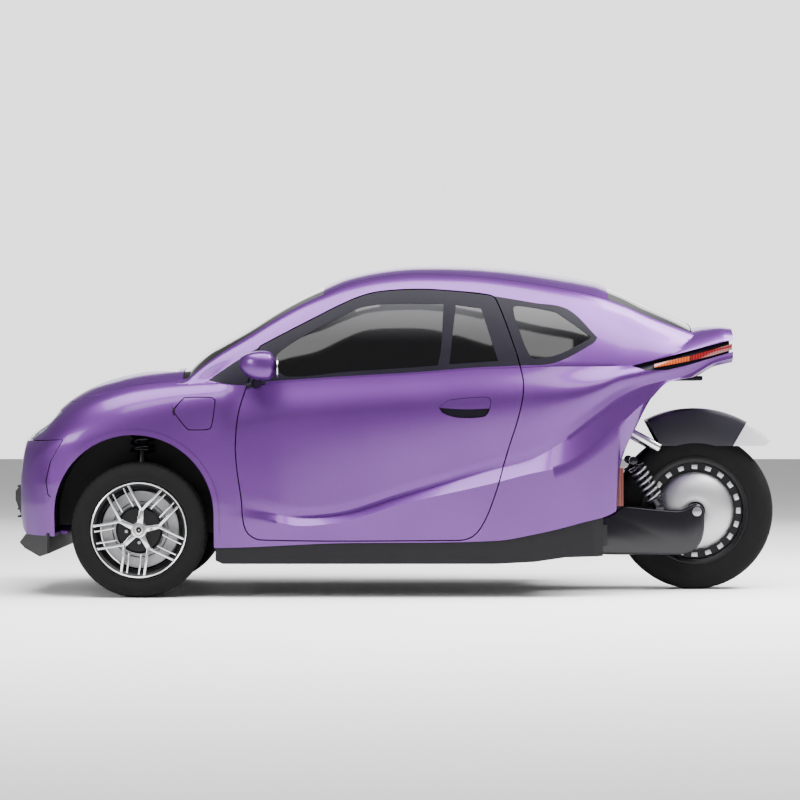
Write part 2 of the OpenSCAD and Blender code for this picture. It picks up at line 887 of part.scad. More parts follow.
module axle_place() {
  translate([front_x, wheel_y, front_r]) rotate([-90, 0, 0]) children();
}

module front_frame() {
  translate([front_x - 70, -340, 150]) cube([140, 680, 60]);
  for (k = [0, 1]) mirror([0, k, 0]) {
    translate([front_x - 70, 340, 150]) cube([140, 60, 662]);
    difference() {
      translate([front_x - 70, 340, 792]) cube([140, 200, 20]);
      strut_place() cylinder(r = 12 + run, h = strut_l + 80);
    }
    translate([-1534, 290, 300]) cube([1534 - 705, 50, 70]);
    difference() {
      union() {
        strut_place() translate([0, 0, -14]) cylinder(r = pivot_r + 14, h = 28);
        for (x = [-60, 60]) rod([front_x + x, 330, 180], foot + [x * 0.1, -14, -4], arm_r);
      }
      strut_place() translate([0, 0, -60]) cylinder(r = pivot_r + run, h = 120);
    }
  }
}

module knuckle() {
  hub_y = foot[1] - (front_r - foot[2]) * tan(lean);
  strut_place() {
    translate([0, 0, -16]) cylinder(r = pivot_r, h = 60);
    translate([0, 0, 24]) cylinder(r = 24, h = 84);
    translate([0, 0, 100]) cylinder(r = strut_r, h = strut_l - 140);
    translate([0, 0, strut_l - 60]) cylinder(r = 12, h = 84);
  }
  axle_place() translate([0, 0, hub_y - wheel_y - 22]) cylinder(r = 42, h = 44);
  axle_place() translate([0, 0, hub_y - wheel_y]) cylinder(r = stub_r, h = wheel_y - hub_y + 34);
}

module spring() {
  strut_place() translate([0, 0, strut_l - 196]) {
    difference() {
      cylinder(r = spring_r, h = 166);
      translate([0, 0, -1]) cylinder(r = spring_r - 12, h = 168);
    }
    for (z = [0, 158]) difference() {
      translate([0, 0, z]) cylinder(r = spring_r, h = 8);
      translate([0, 0, z - 1]) cylinder(r = z == 0 ? strut_r : 12, h = 10);
    }
  }
}

// A wheel turns about z here, with its outer face up
rim_profile = [
  [-70, 0], [-66, 0], [-61, -12], [-44, -12], [-30, -22], [30, -22], [44, -12], [61, -12], [66, 0], [70, 0]
];

module rim_barrel(r, w) {
  k = w / 150;
  rotate_extrude($fn = 96) polygon(concat(
    [for (p = rim_profile) [r + p[1], p[0] * k]],
    [for (i = [len(rim_profile) - 1 : -1 : 0]) [r + rim_profile[i][1] - 8, rim_profile[i][0] * k]]
  ));
}

module front_rim() {
  web_r = front_rim_r - 26;
  axle_place() {
    rim_barrel(front_rim_r, front_w);
    difference() {
      union() {
        translate([0, 0, 6]) cylinder(r = bolt_circle_r + 20, h = 44);
        translate([0, 0, 36]) linear_extrude(18) intersection() {
          circle(front_rim_r - 13, $fn = 96);
          for (i = [0 : 4]) rotate(72 * i) {
            translate([40, -16]) square([52, 32]);
            for (s = [-1, 1])
              polygon([[78, s * 2], [92, s * 18], [web_r + 6, s * 78], [web_r + 16, s * 56], [100, s * 2]]);
          }
        }
        translate([0, 0, 50]) cylinder(r = 30, h = 10);
        for (a = [0 : 90 : 270]) rotate([0, 0, a]) translate([bolt_circle_r, 0, 50]) cylinder(r = 9, h = 8);
      }
      translate([0, 0, -1]) cylinder(r = stub_r + run, h = 37);
    }
  }
}

module tyre(r, w, rim_r) {
  s = w / 2;
  k = w / 150;
  half = [
    [rim_r - 12, 46 * k], [rim_r - 12, 60 * k], [rim_r + 2, 61 * k], [rim_r + 8, s - 4],
    [(r + rim_r) / 2, s], [r - 22, s - 8], [r - 6, s - 20], [r, s - 44]
  ];
  core = [[r - 18, s - 32], [rim_r + 12, s - 22]];
  rotate_extrude($fn = 96) polygon(concat(
    half,
    [for (i = [len(half) - 1 : -1 : 0]) [half[i][0], -half[i][1]]],
    [for (i = [1, 0]) [core[i][0], -core[i][1]]],
    core
  ));
}

module front_tyre() {
  axle_place() tyre(front_r, front_w, front_rim_r);
}

module front_disc() {
  axle_place() difference() {
    union() {
      translate([0, 0, -30]) cylinder(r = disc_r, h = 12);
      translate([0, 0, -30]) cylinder(r = bolt_circle_r + 14, h = 36);
    }
    translate([0, 0, -31]) cylinder(r = stub_r + 10, h = 40);
  }
}

// Rear unit
module rear_place() {
  translate([rear_x, 0, rear_z]) rotate([90, 0, 0]) children();
}

module rear_rim() {
  web_r = rear_rim_r - 20;
  rear_place() {
    rim_barrel(rear_rim_r, rear_w);
    for (k = [0, 1]) mirror([0, 0, k]) difference() {
      translate([0, 0, 60]) cylinder(r = web_r, h = 10);
      translate([0, 0, 59]) cylinder(r = motor_r, h = 12);
      for (i = [0 : slots - 1]) rotate([0, 0, 360 / slots * i])
        translate([motor_r + 20, -14, 59]) cube([web_r - motor_r - 34, 28, 12]);
    }
  }
}

module rear_tyre() {
  rear_place() tyre(rear_r, rear_w, rear_rim_r);
}

module hub_motor() {
  rear_place() difference() {
    union() {
      translate([0, 0, -72]) cylinder(r = motor_r, h = 144);
      for (k = [0, 1]) mirror([0, 0, k]) {
        translate([0, 0, 72]) cylinder(r = motor_r + 15, h = 12);
        translate([0, 0, 84]) cylinder(r1 = motor_r + 10, r2 = 70, h = 34);
      }
    }
    translate([0, 0, -mid / 2]) cylinder(r = axle_r + run, h = mid);
  }
}

arm_edge = [
  [770, 190], [790, 172], [864, 153], [1225, 150], [1275, 165], [1308, 195], [1322, 240], [1322, 340],
  [1312, 368], [1280, 384], [1245, 376], [1200, 338], [1090, 350], [975, 360], [940, 352], [915, 326],
  [830, 306], [782, 286], [768, 250]
];

module swing_arm() {
  for (k = [0, 1]) mirror([0, k, 0]) side_prism(arm_y, arm_y + swing_t)
    polygon([for (p = arm_edge) [p[0] > 1000 ? p[0] + rear_x - 1273 : p[0], p[1]]]);
  translate([pivot[0], 0, pivot[1]]) rotate([90, 0, 0]) cylinder(r = 40, h = 2 * arm_y + 2, center = true);
  rear_place() cylinder(r = axle_r, h = 2 * arm_y + 2, center = true);
}

module rear_frame() {
  for (k = [0, 1]) mirror([0, k, 0]) {
    translate([700, arm_y + swing_t, 160]) cube([155, 24, floor_z - 160]);
    translate([790, arm_y + swing_t, 190]) cube([100, 24, 90]);
  }
}

shock_foot = [1116, 156, 355];
shock_top = [1004, 156, 552];

module shocks() {
  one_mesh() for (k = [0, 1]) mirror([0, k, 0]) difference() {
    union() {
      rod(shock_foot, shock_top, 14, $fn = 16);
      rod(shock_foot + 0.12 * (shock_top - shock_foot), shock_foot + 0.9 * (shock_top - shock_foot), 40, $fn = 24);
      translate([900, 140, 546]) cube([110, 32, 22]);
    }
    body_solid(0);
    side_prism(arm_y - 1, arm_y + swing_t + 1) polygon([for (p = arm_edge) p]);
  }
}

module guard_ring(turn) {
  rear_place() rotate([0, 0, turn[0]]) rotate_extrude(angle = turn[1] - turn[0], $fn = 96) {
    translate([guard_r - guard_t, -guard_y - guard_t]) square([guard_t, 2 * (guard_y + guard_t)]);
    for (y = [-guard_y - guard_t, guard_y]) translate([guard_r - 110, y]) square([110, guard_t]);
  }
}

module mudguard() {
  guard_ring(guard_turn);
}

module mudguard_band() {
  guard_ring(band_turn);
}

module guard_tubes() {
  y = guard_y + guard_t + tube_r;
  one_mesh() for (k = [0, 1]) mirror([0, k, 0]) difference() {
    rod([930, y, 705], [1150, y, 655], tube_r, $fn = 24);
    body_solid(0);
  }
}

// Charging
module charge_inlet() {
  difference() {
    union() {
      side_prism(half_w - 60, half_w - 45) polygon(flap_edge);
      hinge_place(flap_hinge, flap_levels) {
        translate([0, 0, -hinge_h / 2 - 10]) cylinder(r = pin_r, h = hinge_h + 20);
        for (z = [-hinge_h / 2 - 12, hinge_h / 2 + 2]) translate([-barrel_r, -50, z]) cube([2 * barrel_r, 54, 10]);
      }
      translate([inlet_at[0], half_w - 46, inlet_at[1]]) rotate([-90, 0, 0]) cylinder(r = inlet_r + 8, h = 16);
    }
    translate([inlet_at[0], half_w - 54, inlet_at[1]]) rotate([-90, 0, 0]) cylinder(r = inlet_r, h = 40);
  }
}

module charge_flap() {
  one_mesh() {
    intersection() {
      skin(glass_t);
      side_prism(200) offset(delta = -flap_gap) polygon(flap_edge);
    }
    hinge_place(flap_hinge, flap_levels) hinge_barrel();
  }
}

// Colours
paint = [0.42, 0.13, 0.48];
black = [0.06, 0.06, 0.07];
tint = [0.1, 0.11, 0.13, 0.8];
silver = [0.75, 0.76, 0.78];
grey = [0.3, 0.3, 0.32];
cloth = [0.2, 0.2, 0.22];

color(paint) hood();
color(paint) bumper();
color(paint) fender();  // fender_right
color(paint) left() fender_open();  // fender_left
color(paint) side();  // side_right
color(paint) left() side();  // side_left
color(paint) roof();
color(paint) rear_panel();
color(tint) windscreen();
color(tint) back_window();
color(black) window_trim();  // window_trim_right
color(black) left() window_trim();  // window_trim_left
color(tint) quarter_glass();  // quarter_glass_right
color(tint) left() quarter_glass();  // quarter_glass_left
color(silver) headlamps();
color([0.6, 0.1, 0.06]) tail_lamps();
color([0.45, 0.2, 0.15]) marker_strips();
color(black) grille();
color(black) front_lip();
color(black) skirts();  // sill_skirts
color(grey) floor_pan();
color(grey) battery_pack();
color(black) wheel_liners();
color(grey) dashboard();
color(cloth) seat();  // seat_right
color(cloth) left() seat();  // seat_left
color(cloth) rear_bench();
color(grey) front_frame();
color(black) swing_arm();
color(grey) rear_frame();
color(grey) shocks();  // shock_absorbers
color(grey) mudguard();
color(silver) mudguard_band();
color(silver) guard_tubes();  // mudguard_tubes
color(black) left() charge_inlet();
color(paint) door();  // door_right
color(black) door_frame();  // door_frame_right
color(tint) door_glass();  // door_glass_right
color(paint) door_handle();  // door_handle_right
color(paint) mirror_pod();  // mirror_right
color(paint) left() door();  // door_left
color(black) left() door_frame();  // door_frame_left
color(tint) left() door_glass();  // door_glass_left
color(paint) left() door_handle();  // door_handle_left
color(paint) left() mirror_pod();  // mirror_left
color(paint) left() charge_flap();
color(black) steering_wheel();
color(grey) knuckle();  // knuckle_right
color(black) spring();  // spring_right
color(grey) left() knuckle();  // knuckle_left
color(black) left() spring();  // spring_left
color(silver) front_rim();  // rim_right
color(black) front_tyre();  // tyre_right
color(silver) front_disc();  // brake_disc_right
color(silver) left() front_rim();  // rim_left
color(black) left() front_tyre();  // tyre_left
color(silver) left() front_disc();  // brake_disc_left
color(black) rear_rim();  // rim_rear
color(black) rear_tyre();  // tyre_rear
color(silver) hub_motor();
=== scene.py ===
# %% [markdown]
# # A three-wheeled electric car
#
# The imported solids fix where every piece is and how it moves. This lesson dresses them: smooth painted
# sheet, tinted glass, alloy wheels, rubber, lamps and cloth, in the same frame and in metres.
# The frame is loaded first, and the boxes of a few of its solids place dressed pieces.

import json
import math

import bpy
import numpy as np
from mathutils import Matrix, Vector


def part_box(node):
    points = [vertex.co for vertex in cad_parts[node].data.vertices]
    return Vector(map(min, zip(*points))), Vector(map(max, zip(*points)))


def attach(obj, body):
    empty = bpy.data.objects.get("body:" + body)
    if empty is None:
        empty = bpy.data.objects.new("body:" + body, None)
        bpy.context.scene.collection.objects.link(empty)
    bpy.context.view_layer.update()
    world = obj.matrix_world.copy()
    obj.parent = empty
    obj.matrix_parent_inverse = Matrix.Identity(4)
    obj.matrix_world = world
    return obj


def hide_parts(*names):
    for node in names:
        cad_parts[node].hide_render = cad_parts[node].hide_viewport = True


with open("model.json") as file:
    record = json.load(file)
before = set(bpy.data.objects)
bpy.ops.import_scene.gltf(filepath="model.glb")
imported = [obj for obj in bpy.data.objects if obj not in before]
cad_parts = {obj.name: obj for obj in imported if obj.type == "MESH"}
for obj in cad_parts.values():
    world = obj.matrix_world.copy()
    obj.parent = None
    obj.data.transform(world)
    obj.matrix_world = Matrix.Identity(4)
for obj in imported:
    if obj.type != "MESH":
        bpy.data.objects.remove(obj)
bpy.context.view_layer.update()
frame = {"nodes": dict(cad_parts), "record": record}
nodes = frame["nodes"]
MM = 0.001


# %% [markdown]
# ## Working by hand, in code
#
# An operator acts on whatever is selected, and the import leaves every solid selected. So each step
# starts by clearing the selection. A few small helpers name the moves that come back all the time:
# pick a piece, apply a modifier, cut one piece with another, and hand a finished piece to its body.

# %% Helpers for picking, modifying and finishing
def clear_selection():
    active = bpy.context.view_layer.objects.active
    if active and active.mode != "OBJECT":
        bpy.ops.object.mode_set(mode="OBJECT")
    bpy.ops.object.select_all(action="DESELECT")


def pick(piece):
    clear_selection()
    piece.select_set(True)
    bpy.context.view_layer.objects.active = piece
    return piece


def edit(piece):
    pick(piece)
    bpy.ops.object.mode_set(mode="EDIT")
    bpy.ops.mesh.select_all(action="SELECT")


def done_editing():
    bpy.ops.object.mode_set(mode="OBJECT")


def modify(piece, kind, **settings):
    pick(piece)
    modifier = piece.modifiers.new(kind.title(), kind)
    for key, value in settings.items():
        setattr(modifier, key, value)
    bpy.ops.object.modifier_apply(modifier=modifier.name)
    return piece


def combine(piece, operation, *tools):
    for tool in tools:
        modify(piece, "BOOLEAN", object=tool, operation=operation, solver="MANIFOLD")
    return piece


def copy_of(piece, name):
    twin = piece.copy()
    twin.data = piece.data.copy()
    twin.name = twin.data.name = name
    bpy.context.collection.objects.link(twin)
    return twin


def outward(piece):
    edit(piece)
    bpy.ops.mesh.remove_doubles(threshold=0.00002)
    bpy.ops.mesh.normals_make_consistent(inside=False)
    done_editing()
    return piece


def mirrored(piece, name):
    twin = pick(copy_of(piece, name))
    twin.scale.y = -1
    bpy.ops.object.transform_apply(location=False, rotation=False, scale=True)
    bpy.ops.object.mode_set(mode="EDIT")
    bpy.ops.mesh.select_all(action="SELECT")
    bpy.ops.mesh.normals_make_consistent(inside=False)
    done_editing()
    return twin


def joined(name, pieces):
    pick(pieces[0])
    for piece in pieces[1:]:
        piece.select_set(True)
    bpy.ops.object.join()
    whole = bpy.context.object
    whole.name = whole.data.name = name
    return whole


def scrap(*pieces):
    for piece in pieces:
        bpy.data.objects.remove(piece, do_unlink=True)


# An edge that turns by more than this many degrees stays sharp, by kind of piece.
FINE_DEG, SHEET_DEG, TURNED_DEG, ROUND_DEG, POD_DEG, CLOTH_DEG = 30, 32, 34, 40, 50, 60


def smooth(piece, degrees):
    pick(piece)
    bpy.ops.object.shade_smooth_by_angle(angle=math.radians(degrees))
    return piece


def hand_over(piece, material, body, stands_for=()):
    piece.data.materials.clear()
    piece.data.materials.append(material)
    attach(piece, body)
    if stands_for:
        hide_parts(*stands_for)
    return piece


def to_right(name):
    return name.replace("left", "right")


def hand_over_pair(piece, degrees, material, body, stands_for=()):
    twin = smooth(mirrored(piece, to_right(piece.name)), degrees)
    hand_over(twin, material, to_right(body), [to_right(node) for node in stands_for])
    hand_over(piece, material, body, stands_for)
    return piece, twin


# %% [markdown]
# ## Finishes
#
# A finish starts from what the real one is: paint over sheet steel, moulded plastic, cast alloy, rubber.
# Colours are written as on a screen and turned to linear light by one function. One small function adds
# a node. Patterns are scaled from millimetres, on object coordinates, which are metres here.

# %% Colour and node helpers
def linear(code):
    parts = [int(code[i : i + 2], 16) / 255 for i in (1, 3, 5)]
    return [p / 12.92 if p <= 0.04045 else ((p + 0.055) / 1.055) ** 2.4 for p in parts] + [1.0]


def add_node(tree, kind, values=None, feeds=None, **settings):
    node = tree.nodes.new("ShaderNode" + kind)
    for key, value in settings.items():
        setattr(node, key, value)
    for key, value in (values or {}).items():
        node.inputs[key].default_value = value
    for key, source in (feeds or {}).items():
        tree.links.new(source, node.inputs[key])
    return node


# A wave texture of scale 1 repeats every pi / 10 units.
WAVE_TURN = math.pi / 10


def per_mm(size):
    return 1.0 / (size * MM)


def new_finish(name, colour, ior=None, **sockets):
    material = bpy.data.materials.new(name)
    material.use_nodes = True
    tree = material.node_tree
    shader = tree.nodes["Principled BSDF"]
    shader.inputs["Base Color"].default_value = linear(colour)
    if ior:
        shader.inputs["IOR"].default_value = ior
    for key, value in sockets.items():
        shader.inputs[key.replace("_", " ").title()].default_value = value
    place = add_node(tree, "TexCoord").outputs["Object"]
    return material, tree, shader, place


def noise(tree, place, size_mm, detail):
    values = {"Scale": per_mm(size_mm), "Detail": detail}
    return add_node(tree, "TexNoise", values, {"Vector": place}).outputs["Fac"]


def cells(tree, place, size_mm):
    values = {"Scale": per_mm(size_mm)}
    return add_node(tree, "TexVoronoi", values, {"Vector": place}).outputs["Distance"]


def stripes(tree, place, size_mm, axis):
    values = {"Scale": per_mm(size_mm) * WAVE_TURN}
    wave = add_node(tree, "TexWave", values, {"Vector": place}, bands_direction=axis)
    return wave.outputs["Fac"]


def tint_by(tree, shader, factor, dark, light):
    mix = add_node(tree, "Mix", feeds={"Factor": factor}, data_type="RGBA")
    mix.inputs[6].default_value = linear(dark)
    mix.inputs[7].default_value = linear(light)
    tree.links.new(mix.outputs[2], shader.inputs["Base Color"])


def bump_by(tree, shader, height, strength, depth_mm):
    bump = add_node(
        tree, "Bump", {"Strength": strength, "Distance": depth_mm * MM}, {"Height": height}
    )
    tree.links.new(bump.outputs["Normal"], shader.inputs["Normal"])


# Most finishes are one colour with faint patches, from a darkest to a lightest shade. Some also have
# an orange peel: the size and detail of its waves, its strength and its depth in millimetres.
def mottled(name, colour, shades, patch_mm, detail, peel=None, **sockets):
    material, tree, shader, place = new_finish(name, colour, **sockets)
    tint_by(tree, shader, noise(tree, place, patch_mm, detail), *shades)
    if peel:
        wave_mm, wave_detail, strength, depth_mm = peel
        bump_by(tree, shader, noise(tree, place, wave_mm, wave_detail), strength, depth_mm)
    return material


# %% Metallic paint under clear lacquer
# Aluminium flake in a violet base coat, sealed by lacquer: a soft metallic glow under a clear gloss.
# Real flake is 0.05 mm and can't show at this distance, so its sparkle is drawn 6 mm wide and faint.
FLAKE_MM, FLAKE_PART, DRIFT_MM = 6.0, 0.35, 350
paint, tree, shader, place = new_finish(
    "metallic_paint", "#50276a", metallic=0.8, roughness=0.36, coat_weight=0.45, coat_roughness=0.12
)
shader.inputs["Specular Tint"].default_value = linear("#a887c4")
flake = add_node(
    tree, "Math", {1: FLAKE_PART}, {0: cells(tree, place, FLAKE_MM)}, operation="MULTIPLY"
)
total = add_node(
    tree, "Math", feeds={0: flake.outputs[0], 1: noise(tree, place, DRIFT_MM, 2.0)}, operation="ADD"
)
tint_by(tree, shader, total.outputs[0], "#4f2668", "#5b3175")

# %% Tinted glass
# Toughened glass with a dark tint in its mass: mostly a black mirror, with the cabin showing faintly.
# The panes' colour is painted from black to grey towards the roof, between the two heights below: a
# painted reflection of the bright light above.
REFLECTION_LOW_M, REFLECTION_HIGH_M = 1.04, 1.24
glass, tree, shader, place = new_finish(
    "tinted_glass", "#08090b", ior=1.34, roughness=0.06, alpha=0.98
)
bump_by(tree, shader, noise(tree, place, 400, 0.0), 0.05, 2.0)
axes = add_node(tree, "SeparateXYZ", feeds={"Vector": place})
fade = add_node(
    tree, "MapRange", {"From Min": REFLECTION_LOW_M, "From Max": REFLECTION_HIGH_M},
    {"Value": axes.outputs["Z"]}, interpolation_type="SMOOTHSTEP",
)
tint_by(tree, shader, fade.outputs["Result"], "#060607", "#3d3d3f")

# %% Black plastics and rubber
# Window frames and pillars are injection-moulded ABS, polished in the tool: deep black with a gloss.
gloss_black = mottled(
    "gloss_black_abs", "#0e0c15", ("#0c0a13", "#14111c"), 60, 3.0, ior=1.2, roughness=0.42
)
# Skirts, grille, liners and dashboard are grained polypropylene. The 1.2 mm grain is drawn 3 mm wide.
GRAIN_MM = 3.0
grained_black, tree, shader, place = new_finish(
    "grained_polypropylene", "#0b0b0d", ior=1.3, roughness=0.5
)
bump_by(tree, shader, cells(tree, place, GRAIN_MM), 0.25, 0.5)
tint_by(tree, shader, noise(tree, place, 120, 4.0), "#09090b", "#111014")
# Vulcanised rubber, moulded: nearly black, matt, a little greyer where it is dusty.
rubber = mottled(
    "tyre_rubber", "#0a0a0a", ("#070707", "#0f0f0f"), 45, 5.0, peel=(45, 5.0, 0.12, 0.6),
    ior=1.25, roughness=0.8,
)
# The mudguard is dark moulded nylon with a satin skin.
guard_grey = mottled("satin_nylon", "#14131a", ("#121018", "#1a1822"), 140, 2.0, roughness=0.34)

# %% Alloys and steels
# Cast aluminium, turned on its face and lacquered: bright, with soft wide reflections.
bright_alloy = mottled(
    "machined_aluminium", "#d3d4d6", ("#c6c7ca", "#dedee0"), 8, 4.0, metallic=1.0, roughness=0.24
)
# The motor cover is bead blasted: a soft satin, without sharp reflections.
satin_alloy = mottled(
    "satin_aluminium", "#b4b4b6", ("#a9a9ac", "#bebec0"), 3, 3.0, metallic=1.0, roughness=0.46
)
# The pockets between the spokes are painted dark before the face is turned.
pocket_black, tree, shader, place = new_finish(
    "black_painted_alloy", "#08080a", ior=1.3, roughness=0.42
)
bump_by(tree, shader, noise(tree, place, 5, 2.0), 0.1, 0.3)
# Bare cast iron and steel that has been ground: grey, brushed, a little worn.
ground_steel = mottled(
    "ground_steel", "#8e8e90", ("#7c7c7e", "#a0a0a2"), 6, 6.0, metallic=1.0, roughness=0.36
)
# Frames and arms are powder coated: an even dark satin with fine orange peel.
powder_black = mottled(
    "powder_coated_steel", "#0d0c11", ("#0b0a0f", "#121017"), 150, 2.0, peel=(4, 2.0, 0.1, 0.3),
    ior=1.4, roughness=0.2,
)
# The floor pan, battery case and frames under the car are primed grey sheet steel.
primed_steel = mottled(
    "primed_steel", "#3a3a3d", ("#303033", "#47474a"), 90, 5.0, metallic=0.3, roughness=0.55
)
# The mudguard's end band is painted silver, with mica in the paint.
MICA_MM = 5.0
band_silver, tree, shader, place = new_finish(
    "silver_paint", "#d8d6da", metallic=0.5, roughness=0.35
)
tint_by(tree, shader, cells(tree, place, MICA_MM), "#cfcdd2", "#e3e1e5")

# %% Lamp lenses
# Clear polycarbonate over the headlamp, red and amber acrylic at the back, with fine upright flutes.
FLUTE_MM = 12.0
clear_lens, tree, shader, place = new_finish(
    "clear_polycarbonate", "#8d959e", roughness=0.04, alpha=0.16
)
bump_by(tree, shader, noise(tree, place, 80, 1.0), 0.05, 1.0)
lens_finish = {}
for name, dark, light in (
    ("red_acrylic", "#4d0006", "#80030a"),
    ("amber_acrylic", "#7a2806", "#a8480c"),
    ("marker_red", "#4a2220", "#6b3a34"),
):
    lens, tree, shader, place = new_finish(name, light, roughness=0.12, coat_weight=0.6)
    flutes = stripes(tree, place, FLUTE_MM, "X")
    tint_by(tree, shader, flutes, dark, light)
    bump_by(tree, shader, flutes, 0.3, 0.8)
    lens_finish[name] = lens
# Reflectors are vacuum-plated plastic: a bright mirror, slightly hazy.
reflector = mottled(
    "plated_reflector", "#e4e5e8", ("#d6d8dc", "#f0f0f2"), 20, 2.0, metallic=1.0, roughness=0.12
)

# %% Cabin cloth
# Woven polyester over foam: thread spacing is 1 mm on the real seat, drawn 4 mm wide to show.
THREAD_MM = 4.0
cloth, tree, shader, place = new_finish(
    "woven_seat_cloth", "#2a2a30", roughness=0.9, sheen_weight=0.3
)
warp, weft = [stripes(tree, place, THREAD_MM, axis) for axis in ("X", "Z")]
weave = add_node(tree, "Math", feeds={0: warp, 1: weft}, operation="MULTIPLY").outputs[0]
tint_by(tree, shader, weave, "#222228", "#37373f")
bump_by(tree, shader, weave, 0.4, 0.6)
print("finishes", len(bpy.data.materials))

# %% [markdown]
# ## The body as a loft
#
# A car body is one flowing sheet, so it isn't pushed out of a box: the designer draws a few guide lines
# from nose to tail, and the sheet is stretched over sections between them. The lines here are the ones
# that the solids were made from, and the sections stand much closer, so that reflections run smoothly.
# Each line lists x along the car, how far it lies inside the widest point, and its height, in
# millimetres. Deck and crown lie on the middle of the car, so they list x and height only.

# %% Guide lines of the body
HALF_W = 720.0
SILL = [
    (-1575, 330, 330), (-1560, 280, 275), (-1535, 215, 254), (-1415, 85, 250), (-1075, 26, 226),
    (-750, 24, 205), (-200, 22, 225), (150, 22, 227), (400, 24, 234), (570, 30, 262),
    (750, 58, 305), (900, 120, 352), (918, 142, 535), (992, 178, 708), (1057, 205, 823),
    (1125, 235, 884), (1243, 280, 909), (1320, 305, 949), (1400, 330, 968),
]
RIDGE = [
    (-1575, 318, 390), (-1560, 255, 385), (-1500, 135, 380), (-1415, 58, 385), (-1075, 8, 400),
    (-670, 12, 330), (-542, 6, 322), (-400, 2, 295), (-268, 0, 305), (30, 0, 388), (391, 0, 470),
    (554, 4, 512), (690, 16, 538), (755, 30, 575), (828, 54, 634), (910, 88, 704),
    (1033, 144, 810), (1197, 212, 892), (1320, 258, 964), (1400, 290, 985),
]
VALLEY = [
    (-1575, 316, 420), (-1560, 252, 420), (-1500, 132, 425), (-1415, 55, 430), (-1075, 6, 450),
    (-670, 10, 375), (-542, 12, 350), (-400, 27, 328), (-268, 33, 335), (30, 38, 419), (391, 44, 528),
    (554, 48, 569), (710, 54, 663), (755, 60, 700), (828, 76, 753), (910, 102, 816),
    (1033, 152, 872), (1197, 214, 909), (1320, 258, 976), (1400, 289, 998),
]
CREASE = [
    (-1575, 315, 440), (-1560, 250, 450), (-1500, 130, 465), (-1415, 52, 470), (-1075, 4, 500),
    (-670, 9, 420), (-542, 9, 382), (-400, 20, 339), (-268, 25, 350), (30, 28, 440), (391, 32, 554),
    (554, 36, 607), (710, 47, 712), (755, 54, 749), (828, 71, 802), (910, 98, 851),
    (1033, 148, 888), (1197, 211, 925), (1320, 256, 990), (1400, 287, 1010),
]
SHOULDER = [
    (-1575, 315, 465), (-1560, 250, 500), (-1500, 128, 560), (-1430, 66, 600), (-1300, 20, 630),
    (-1075, 0, 650), (-751, 6, 655), (-563, 6, 705), (-400, 3, 728), (10, 0, 760), (337, 2, 785),
    (664, 18, 815), (755, 36, 832), (828, 58, 856), (910, 88, 892), (1033, 140, 920),
    (1197, 205, 962), (1320, 250, 1016), (1400, 280, 1035),
]
BELT = [
    (-1575, 330, 500), (-1562, 285, 570), (-1545, 245, 612), (-1468, 165, 668), (-1382, 115, 742),
    (-1219, 84, 818), (-1060, 74, 856), (-866, 62, 872), (-737, 52, 876), (-620, 45, 864),
    (-481, 42, 880), (-203, 38, 900), (92, 36, 917), (305, 37, 935), (505, 45, 941),
    (651, 62, 947), (828, 105, 948), (979, 152, 953), (1104, 195, 989), (1248, 235, 1031),
    (1350, 262, 1056), (1400, 282, 1064),
]
DECK = [
    (-1575, 515), (-1570, 575), (-1558, 615), (-1541, 638), (-1507, 668), (-1438, 711),
    (-1403, 750), (-1369, 784), (-1300, 827), (-1231, 857), (-1162, 879), (-1093, 892),
    (-990, 900), (-870, 905), (-700, 880), (0, 850), (800, 860), (1000, 950),
    (1150, 1060), (1240, 1112), (1285, 1114), (1354, 1099), (1400, 1083),
]
DRIP = [
    (-866, 66, 872), (-778, 72, 889), (-704, 84, 946), (-596, 103, 1016), (-453, 122, 1094),
    (-325, 142, 1159), (-232, 152, 1208), (-138, 160, 1247), (-44, 164, 1262), (93, 166, 1269),
    (259, 169, 1260), (395, 173, 1243), (560, 180, 1216), (705, 192, 1191), (839, 209, 1152),
    (1005, 226, 1080), (1168, 246, 1038), (1280, 262, 1030),
]
SEAM = [
    (-905, 92, 862), (-866, 98, 896), (-749, 122, 988), (-618, 152, 1071), (-487, 175, 1154),
    (-388, 195, 1208), (-310, 209, 1244), (-206, 224, 1290), (-73, 233, 1320), (93, 238, 1333),
    (276, 240, 1326), (435, 248, 1310), (627, 262, 1282), (820, 282, 1244), (946, 296, 1201),
    (1057, 310, 1153), (1194, 325, 1103), (1280, 336, 1075),
]
CROWN = [
    (-905, 900), (-866, 922), (-749, 1000), (-618, 1085), (-487, 1168), (-388, 1224), (-310, 1266),
    (-231, 1310), (-93, 1349), (10, 1366), (217, 1375), (424, 1370), (630, 1349), (837, 1314),
    (872, 1301), (1044, 1224), (1217, 1146), (1280, 1105),
]


# %% Smooth values along a guide line
def ramp(x, a, b):
    u = np.clip((x - a) / (b - a), 0, 1)
    return u * u * (3 - 2 * u)


def hermite(p, q, m, n, u):
    near, far = (1 - u) ** 2, u * u
    return (1 + 2 * u) * near * p + u * near * m + far * (3 - 2 * u) * q - far * (1 - u) * n


def exact(line, x, column):
    table = np.array(line, float)
    at, value = table[:, 0], table[:, column]
    rise = np.diff(value) / np.diff(at)
    before, after = rise[:-1], rise[1:]
    total = np.where(before + after == 0, 1, before + after)
    slope = np.concatenate(
        [rise[:1], np.where(before * after > 0, 2 * before * after / total, 0), rise[-1:]]
    )
    i = np.clip(np.searchsorted(at, x, "right") - 1, 0, len(at) - 2)
    h = at[i + 1] - at[i]
    u = np.clip((x - at[i]) / h, 0, 1)
    return hermite(value[i], value[i + 1], slope[i] * h, slope[i + 1] * h, u)


# A line is averaged over 70 mm to each side, as a long spline batten would fair it. It stays as drawn
# near both ends and where the body narrows behind the doors.
BATTEN_MM = np.arange(-70, 71, 14)
BATTEN_PULL = np.exp(-((BATTEN_MM / 38.0) ** 2))


